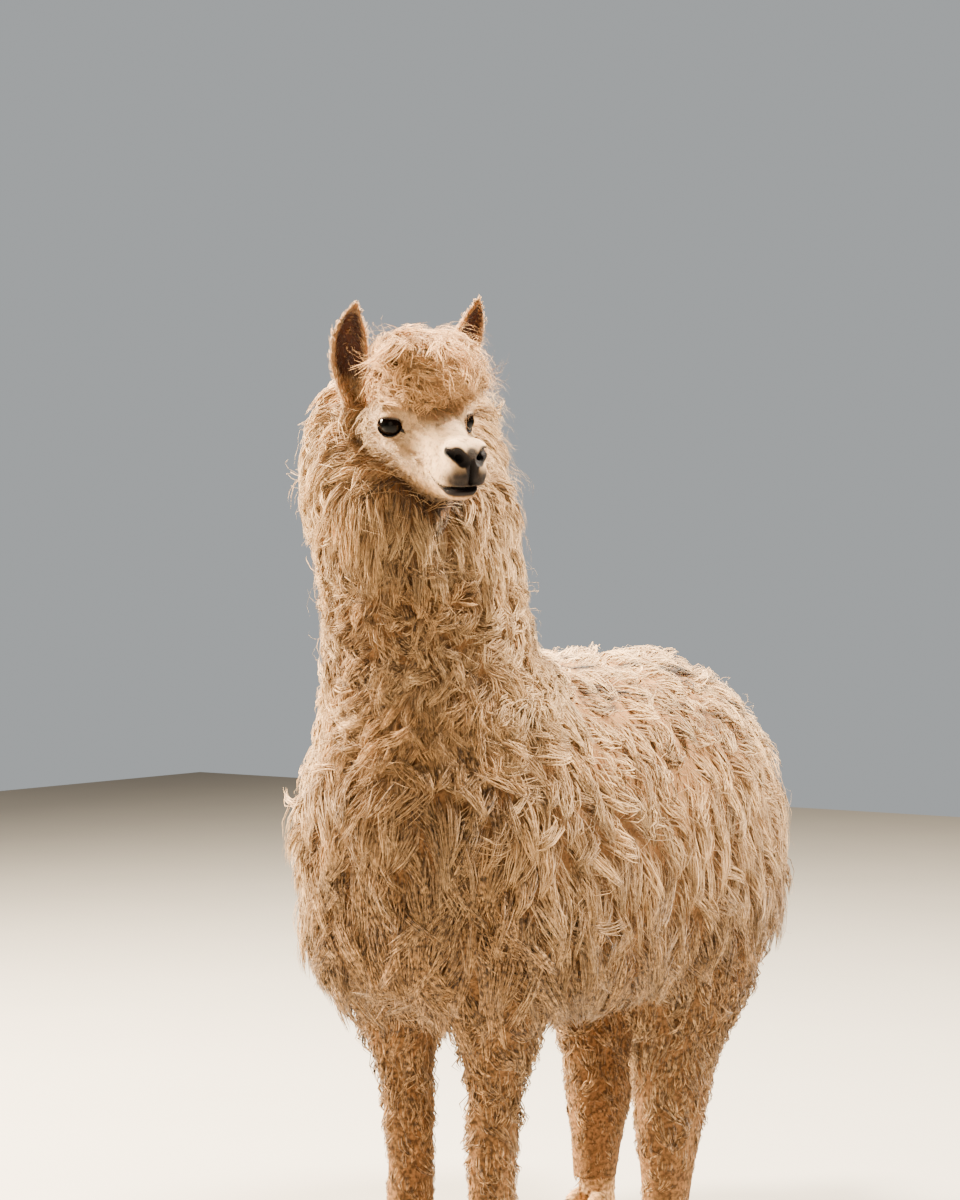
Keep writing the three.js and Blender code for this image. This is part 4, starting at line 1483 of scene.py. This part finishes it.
def new_material(name, **constants):
    """A material with its Principled shader's constant sockets set."""
    material = bpy.data.materials.new(name)
    material.use_nodes = True
    tree = material.node_tree
    shader = tree.nodes["Principled BSDF"]
    for key, value in constants.items():
        shader.inputs[key.replace("_", " ").title().replace("Ior", "IOR")].default_value = value
    return material, tree, shader


def dress(tree, shader, tint, height=None, strength=0.0, distance=0.0):
    """A colour, and a relief where there is one, linked to a material's shader."""
    tree.links.new(tint, shader.inputs["Base Color"])
    if height is not None:
        values = {"Height": height, "Strength": strength, "Distance": distance}
        tree.links.new(put(tree, "Bump", values).outputs[0], shader.inputs["Normal"])


def make_wool(
    name, groups, fibres=9.0, crimp=3.0, bends=60.0, bump=0.6, root_shade_amount=0.78, deepest=0.46,
    cream=CREAM, ginger=GINGER,
):
    """A kind of wool: the shared markings over each lock, with painted shade at its root, streaked
    by its fibres.
    """
    material, tree, shader = new_material(
        name, roughness=0.8, sheen_weight=0.2, sheen_roughness=0.5, specular_ior_level=0.2,
    )
    markings_group, fibre_group = groups
    lock = read_value(tree, "lock")
    parts = parts_of(tree, lock)
    tint = put(tree, "Group", {
        "Marks": read_value(tree, "marks"), "Pink": read_value(tree, "pink", "Fac"),
        "Chance": parts[2], "Along": parts[1], "Painted Root Shade": root_shade_amount, "Cream": cream,
        "Ginger": ginger, "Deepest": deepest,
    }, node_tree=markings_group).outputs["Colour"]
    relief = put(tree, "Group", {
        "Lock": lock, "Fibres": fibres, "Crimp": crimp, "Bends": bends,
    }, node_tree=fibre_group).outputs
    tint = blend(tree, 1.0, tint, relief["Streak"], "MULTIPLY")
    dress(tree, shader, tint, relief["Height"], bump, 0.0012)
    return material


def make_skin_finish(groups):
    """Short pale fur and dark bare skin on the one skin, painted shaded where the coat covers it.
    """
    material, tree, shader = new_material(
        "skin", roughness=0.62, subsurface_weight=0.12, subsurface_scale=0.004,
        specular_ior_level=0.1,
    )
    marks = read_value(tree, "marks")
    bare = parts_of(tree, marks)[2]
    tint = put(tree, "Group", {
        "Marks": marks, "Pink": read_value(tree, "pink", "Fac"), "Chance": 0.5,
        "Along": read_value(tree, "shortness", "Fac"), "Painted Root Shade": 0.9, "Cream": FACE_CREAM,
    }, node_tree=groups[0]).outputs["Colour"]
    place = object_place(tree)
    hair = put(tree, "Mapping", {"Vector": place, "Scale": (900, 900, 260)}).outputs[0]
    hair = noise(tree, hair, 1.0, 3.0)
    pores = put(tree, "TexVoronoi", {"Vector": place, "Scale": 620.0}).outputs["Distance"]
    tint = blend(tree, 1.0, tint, spread(tree, hair, 0.3, 0.7, 0.82, 1.08), "MULTIPLY")
    dress(tree, shader, tint, blend(tree, bare, hair, pores), 0.55, 0.0007)
    tree.links.new(spread(tree, bare, 0.0, 1.0, 0.8, 0.72), shader.inputs["Roughness"])
    return material


def make_eye_finish():
    """A wet, near-black brown eye with a level pupil."""
    material, tree, shader = new_material(
        "eye", roughness=0.09, ior=1.36, specular_ior_level=0.16,
    )
    gaze = read_value(tree, "gaze")
    parts = parts_of(tree, gaze)
    reach = vector_math(tree, "LENGTH", vector_math(tree, "MULTIPLY", gaze, (1, 1, 0))[0])["Value"]
    bearing = math_of(tree, "MULTIPLY", math_of(tree, "ARCTAN2", parts[1], parts[0]), 9.0)
    rays = noise(tree, put(tree, "CombineXYZ", {0: bearing, 1: reach}).outputs[0], 2.2, 3.0)
    iris = blend(tree, rays, colour(0.002, 0.0012, 0.001), colour(0.006, 0.003, 0.0015))
    level = vector_math(tree, "MULTIPLY", gaze, (1.9, 3.6, 0))[0]
    pupil = spread(tree, vector_math(tree, "LENGTH", level)["Value"], 0.85, 1.15)
    tint = blend(tree, pupil, colour(0.002, 0.002, 0.002), iris)
    tint = blend(tree, spread(tree, reach, 0.72, 0.84), tint, colour(0.004, 0.003, 0.0025))
    dress(tree, shader, tint, noise(tree, gaze, 5.0, 1.0), 0.05, 0.0004)
    return material


def make_nail_finish():
    """Dark horn with growth rings and worn, dusty tips."""
    material, tree, shader = new_material("toenail", coat_weight=0.15, coat_roughness=0.3)
    place = object_place(tree)
    waves = {"Vector": place, "Scale": 180.0, "Distortion": 3.0, "Detail": 2.0}
    rings = put(tree, "TexWave", waves, bands_direction="Y").outputs["Fac"]
    dust = spread(tree, noise(tree, place, 90.0, 4.0), 0.45, 0.7)
    horn = blend(tree, rings, colour(0.020, 0.015, 0.012), colour(0.055, 0.042, 0.032))
    dress(tree, shader, blend(tree, dust, horn, colour(0.16, 0.115, 0.08)), rings, 0.4, 0.0005)
    tree.links.new(spread(tree, dust, 0.0, 1.0, 0.35, 0.75), shader.inputs["Roughness"])
    return material


def make_clouded_finish(name, roughness, scale, detail, first, second):
    """A plain finish that wanders between two colours."""
    material, tree, shader = new_material(name, roughness=roughness)
    dress(tree, shader, blend(tree, noise(tree, object_place(tree), scale, detail), first, second))
    return material


# ---- Eyes and lashes ----
EYEBALL = {"rows": 40, "columns": 56}
LASHES = {"points": 24, "count": 34, "length": 0.0085}


def globe(rows, columns):
    """A round ball's points, one unit from its middle, and its triangles."""
    tilt = np.linspace(0, np.pi, rows + 1)[1:-1]
    turn = np.arange(columns) * 2 * np.pi / columns
    ring = np.stack([
        np.sin(tilt)[:, None] * np.cos(turn)[None],
        np.sin(tilt)[:, None] * np.sin(turn)[None],
        np.broadcast_to(np.cos(tilt)[:, None], (rows - 1, columns)),
    ], -1).reshape(-1, 3)
    points = np.concatenate([[[0, 0, 1]], ring, [[0, 0, -1]]])
    last = len(points) - 1
    faces = []
    for c in range(columns):
        d = (c + 1) % columns
        faces += [(0, 1 + c, 1 + d), (last, last - columns + d, last - columns + c)]
        for r in range(rows - 2):
            a, b = 1 + r * columns, 1 + (r + 1) * columns
            faces += [(a + c, b + c, b + d), (a + c, b + d, a + d)]
    return points, np.array(faces)


def make_eye(name, side, node, material):
    """A round eye with its cornea standing a little proud."""
    gaze, faces = globe(**EYEBALL)
    out, nosewards, up = eye_axes(side)
    cornea = 0.6 * np.exp(-((1 - gaze[:, 2]) / 0.18))
    places = (EYE["radius"] - 0.1 + cornea)[:, None] * gaze
    local = places @ np.array([nosewards * side, up, out]) + eye_centre(side)
    solid = local[faces]
    facing = np.cross(solid[:, 1] - solid[:, 0], solid[:, 2] - solid[:, 0])
    if (facing * (solid.mean(1) - eye_centre(side))).sum() < 0:
        faces = faces[:, ::-1]
    mesh = mesh_from(name, to_metres(from_head(local)), faces)
    add_values(mesh, "gaze", gaze)
    piece = place_piece(name, mesh, material)
    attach(piece, "root")
    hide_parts(node)


def make_lash_tree():
    """Tapering, bowed lashes stood along a lid's edge, leaning the way its points say."""
    tree = bpy.data.node_groups.new("lash_fringe", "GeometryNodeTree")
    sockets = add_sockets(
        tree,
        [
            ("Lid", "Geometry", None), ("Lashes", "Int", 30), ("Length", "Float", 0.009),
            ("Thickness", "Float", 0.0003), ("Seed", "Int", 3), ("Finish", "Material", None),
        ],
        [("Lashes", "Geometry")],
    )
    given = tree.nodes.new("NodeGroupInput").outputs

    def step(kind, values=None, output=0, **settings):
        return add_node(tree, kind, values, **settings).outputs[output]

    def grow(kind, values, **settings):
        return step("GeometryNode" + kind, values, **settings)

    def scaled(x, y, z):
        place = step("ShaderNodeCombineXYZ", {"X": x, "Y": y, "Z": z})
        values = {0: place, "Scale": given["Length"]}
        return step("ShaderNodeVectorMath", values, operation="SCALE")

    edge = grow("MeshToCurve", {"Mesh": given["Lid"]})
    edge = grow("ResampleCurve", {"Curve": edge, "Count": given["Lashes"]})
    bow, tip = scaled(0, -0.1, 0.6), scaled(0, 0.35, 1.0)
    stem = grow("CurveQuadraticBezier", {
        "Resolution": 4, "Start": (0, 0, 0), "Middle": bow, "End": tip,
    })
    along = step("GeometryNodeSplineParameter", output="Factor")
    taper = step("ShaderNodeMath", {0: 1.05, 1: along}, operation="SUBTRACT")
    stem = grow("SetCurveRadius", {"Curve": stem, "Radius": taper})
    section = grow("CurvePrimitiveCircle", {"Resolution": 4, "Radius": given["Thickness"]})
    lash = grow("CurveToMesh", {"Curve": stem, "Profile Curve": section, "Fill Caps": True})
    lean = grow("InputNamedAttribute", {"Name": "lean"}, data_type="FLOAT_VECTOR")
    turned = step("FunctionNodeAlignRotationToVector", {"Vector": lean}, axis="Z")
    sizes = {2: 0.6, 3: 1.1, "Seed": given["Seed"]}
    size = step("FunctionNodeRandomValue", sizes, output=1, data_type="FLOAT")
    fringe = grow("InstanceOnPoints", {
        "Points": edge, "Instance": lash, "Rotation": turned, "Scale": size,
    })
    fringe = grow("RealizeInstances", {"Geometry": fringe})
    fringe = grow("SetMaterial", {"Geometry": fringe, "Material": given["Finish"]})
    add_node(tree, "NodeGroupOutput", {0: fringe})
    return tree, sockets


def make_lashes(name, side, tree, sockets, material):
    """The upper lid's edge as a line of points, and the fringe grown from it."""
    count = LASHES["points"]
    share = np.linspace(-0.9, 0.92, count)
    nosewards = share * np.where(share > 0, EYE_OPENING["front"], EYE_OPENING["back"])
    up = EYE_OPENING["upper"] * (1 - np.abs(share) ** 3.2) ** 0.7 + 1.5 * share
    out = np.sqrt(np.maximum((EYE["radius"] + 1.6) ** 2 - nosewards**2 - up**2, 4))
    axes = np.array(eye_axes(side))
    edge = np.stack([out, nosewards, up], 1) @ axes + eye_centre(side)
    lean = np.stack([np.ones(count), 0.5 * share, np.full(count, 0.45)], 1) @ axes
    mesh = bpy.data.meshes.new(name)
    links = [(i, i + 1) for i in range(count - 1)]
    mesh.from_pydata(to_metres(from_head(edge)).tolist(), links, [])
    add_values(mesh, "lean", unit(lean) @ HEAD_AXES.T)
    piece = place_object(name, mesh)
    fringe = piece.modifiers.new("fringe", "NODES")
    fringe.node_group = tree
    fringe[sockets["Lashes"]] = LASHES["count"]
    fringe[sockets["Length"]] = LASHES["length"]
    fringe[sockets["Seed"]] = 3 + side
    fringe[sockets["Finish"]] = material
    grown = piece.evaluated_get(bpy.context.evaluated_depsgraph_get())
    grown = bpy.data.meshes.new_from_object(grown)
    piece.modifiers.remove(fringe)
    piece.data = grown
    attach(piece, "root")


# ---- The whole animal ----
def wants_finer(places, level):
    """Which parts of the face are parted once more: all of it, its features, then their rims."""
    q = to_head(places)
    m, f, u = np.abs(q[:, 0]), -q[:, 1], q[:, 2]
    face = (m < 80) & (u > -110) & (u < 44) & (f > -30) & (f < 170)
    face[face] = np.abs(head_form(q[face])) < 4
    from_eyes = [np.linalg.norm(q - eye_centre(side), axis=1) for side in SIDES.values()]
    lids = (np.min(np.abs(np.array(from_eyes) - EYE["radius"]), axis=0) < 7) & (f > -22)
    if level == 1:
        mouth = (f > 84) & (np.abs(u + 52) < 9)
        face &= lids | (f > 112) & (u > -76) | mouth
    if level == 2:
        rims = np.min([np.abs(lid_opening(q, side)) for side in SIDES.values()], axis=0)
        nostril = np.abs(nostril_form(np.stack([m, -f, u], 1)))
        face &= lids & (rims < 2.1) | (nostril < 1.8)
    return face


def make_skin(material):
    """The one skin of all the flesh, with its marks."""
    points, triangles = net_skin()
    points = settle(points, 2)
    for level in range(3):
        chosen = wants_finer(points[triangles].mean(1), level)
        points, triangles = refine(points, triangles, chosen)
        points = settle(points, 3)
    skin = Skin(points, triangles)
    mesh = mesh_from("skin", to_metres(points), triangles)
    marks = markings(points, skin.normals, skin.form)
    add_values(mesh, "marks", marks[:, :3])
    add_values(mesh, "pink", marks[:, 3])
    q = to_head(points)
    # shortness lessens the skin's painted root shade on the short-furred face, the ear linings and
    # the feet
    furred = is_form(skin.form, "head") * ramp(-q[:, 1] - bare_edge(q[:, 2]), -14, 4)
    furred = most(furred, marks[:, 3], is_form(skin.form, "foot"))
    add_values(mesh, "shortness", 0.6 * furred)
    piece = place_piece("skin", mesh, material)
    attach(piece, "root")
    flesh = [name for name in frame["nodes"] if not name.startswith(("nail", "eye"))]
    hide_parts(*flesh)
    return skin


def dress_nails(material):
    for name in frame["nodes"]:
        if name.startswith("nail"):
            nail = bpy.data.objects[name]
            nail.data.materials.clear()
            nail.data.materials.append(material)


def light_world():
    """A dim, warm sky, behind which the camera sees a pale backdrop."""
    world = bpy.data.worlds.new("studio")
    world.use_nodes = True
    tree = world.node_tree
    sky = tree.nodes["Background"]
    sky.inputs["Color"].default_value = colour(0.95, 0.90, 0.84)
    sky.inputs["Strength"].default_value = 0.14
    seen = put(tree, "LightPath").outputs["Is Camera Ray"]
    backdrop = put(tree, "Background", {"Color": colour(0.80, 0.84, 0.86), "Strength": 0.5})
    either = put(tree, "MixShader", {0: seen, 1: sky.outputs[0], 2: backdrop.outputs[0]})
    tree.links.new(either.outputs[0], tree.nodes["World Output"].inputs["Surface"])
    bpy.context.scene.world = world


set_camera()
groups = (make_markings_group(), make_fibre_group())
fleece = make_wool("fleece", groups)
crown_wool = make_wool(
    "topknot_wool", groups, fibres=10.0, crimp=2.0, deepest=0.68, cream=CROWN_CREAM,
    ginger=CROWN_GINGER,
)
face_fur = make_wool(
    "face_fur", groups, fibres=3.0, crimp=1.0, bends=6.0, bump=0.4, root_shade_amount=0.62, deepest=0.6,
    cream=FACE_CREAM,
)
skin = make_skin(make_skin_finish(groups))
zones = coat_zones(skin)
y, z = skin.middles[:, 1], skin.middles[:, 2]
COATS = (
    # name, zone, part of the zone, locks, rings, style, finish, slot
    ("fleece_shoulders", "trunk", y < -200, 8300, 3, trunk_style, fleece, "fleece"),
    ("fleece_barrel", "trunk", np.abs(y + 20) < 180, 7000, 3, trunk_style, fleece, "fleece"),
    ("fleece_rump", "trunk", y > 160, 7700, 3, trunk_style, fleece, "fleece"),
    ("fleece_neck_lower", "neck", z < 940, 7200, 3, neck_style, fleece, "fleece"),
    ("fleece_neck_upper", "neck", z >= 940, 9800, 3, neck_style, fleece, "fleece"),
    ("bib", "bib", 1, 2100, 5, bib_style, fleece, "fleece"),
    ("ruff", "ruff", 1, 5800, 5, ruff_style, fleece, "fleece"),
    ("cheeks_and_brow", "cheek", 1, 5200, 3, cheek_style, fleece, "face"),
    ("topknot_wool", "topknot", 1, 4600, 6, topknot_style, crown_wool, "topknot"),
    ("face_fur", "face", 1, 14000, 2, face_style, face_fur, "face"),
    ("ear_fur", "ear", 1, 5000, 2, ear_style, face_fur, "ear"),
    ("leg_wool", "leg", 1, 12400, 2, leg_style, fleece, "foot"),
    ("tail_wool", "tail", 1, 1300, 4, tail_style, fleece, "fleece"),
    ("wisps", "wisp", 1, 3400, 3, wisp_style, crown_wool, "fleece"),
)
for name, zone, kept, count, rings, style, finish, slot in COATS:
    roots = skin.scatter(zones[zone] * kept, count)
    comb(name, roots, style(*roots[:2]), rings, finish)
lash_colours = colour(0.02, 0.013, 0.009), colour(0.06, 0.035, 0.02)
eye_finish = make_eye_finish()
lash_finish = make_clouded_finish("lash", 0.5, 300.0, 2.0, *lash_colours)
lash_tree, lash_sockets = make_lash_tree()
for side_name, side in SIDES.items():
    make_eye("eyeball_" + side_name, side, "eye_" + side_name, eye_finish)
    make_lashes("lashes_" + side_name, side, lash_tree, lash_sockets, lash_finish)
dress_nails(make_nail_finish())

bpy.ops.mesh.primitive_plane_add(size=14)
floor = bpy.context.object
floor.name = "floor"
floor_colours = colour(0.33, 0.31, 0.28), colour(0.36, 0.34, 0.305)
floor.data.materials.append(make_clouded_finish("floor", 0.85, 2.0, 3.0, *floor_colours))
light_world()
for light in LIGHTS:
    area_light(*light)
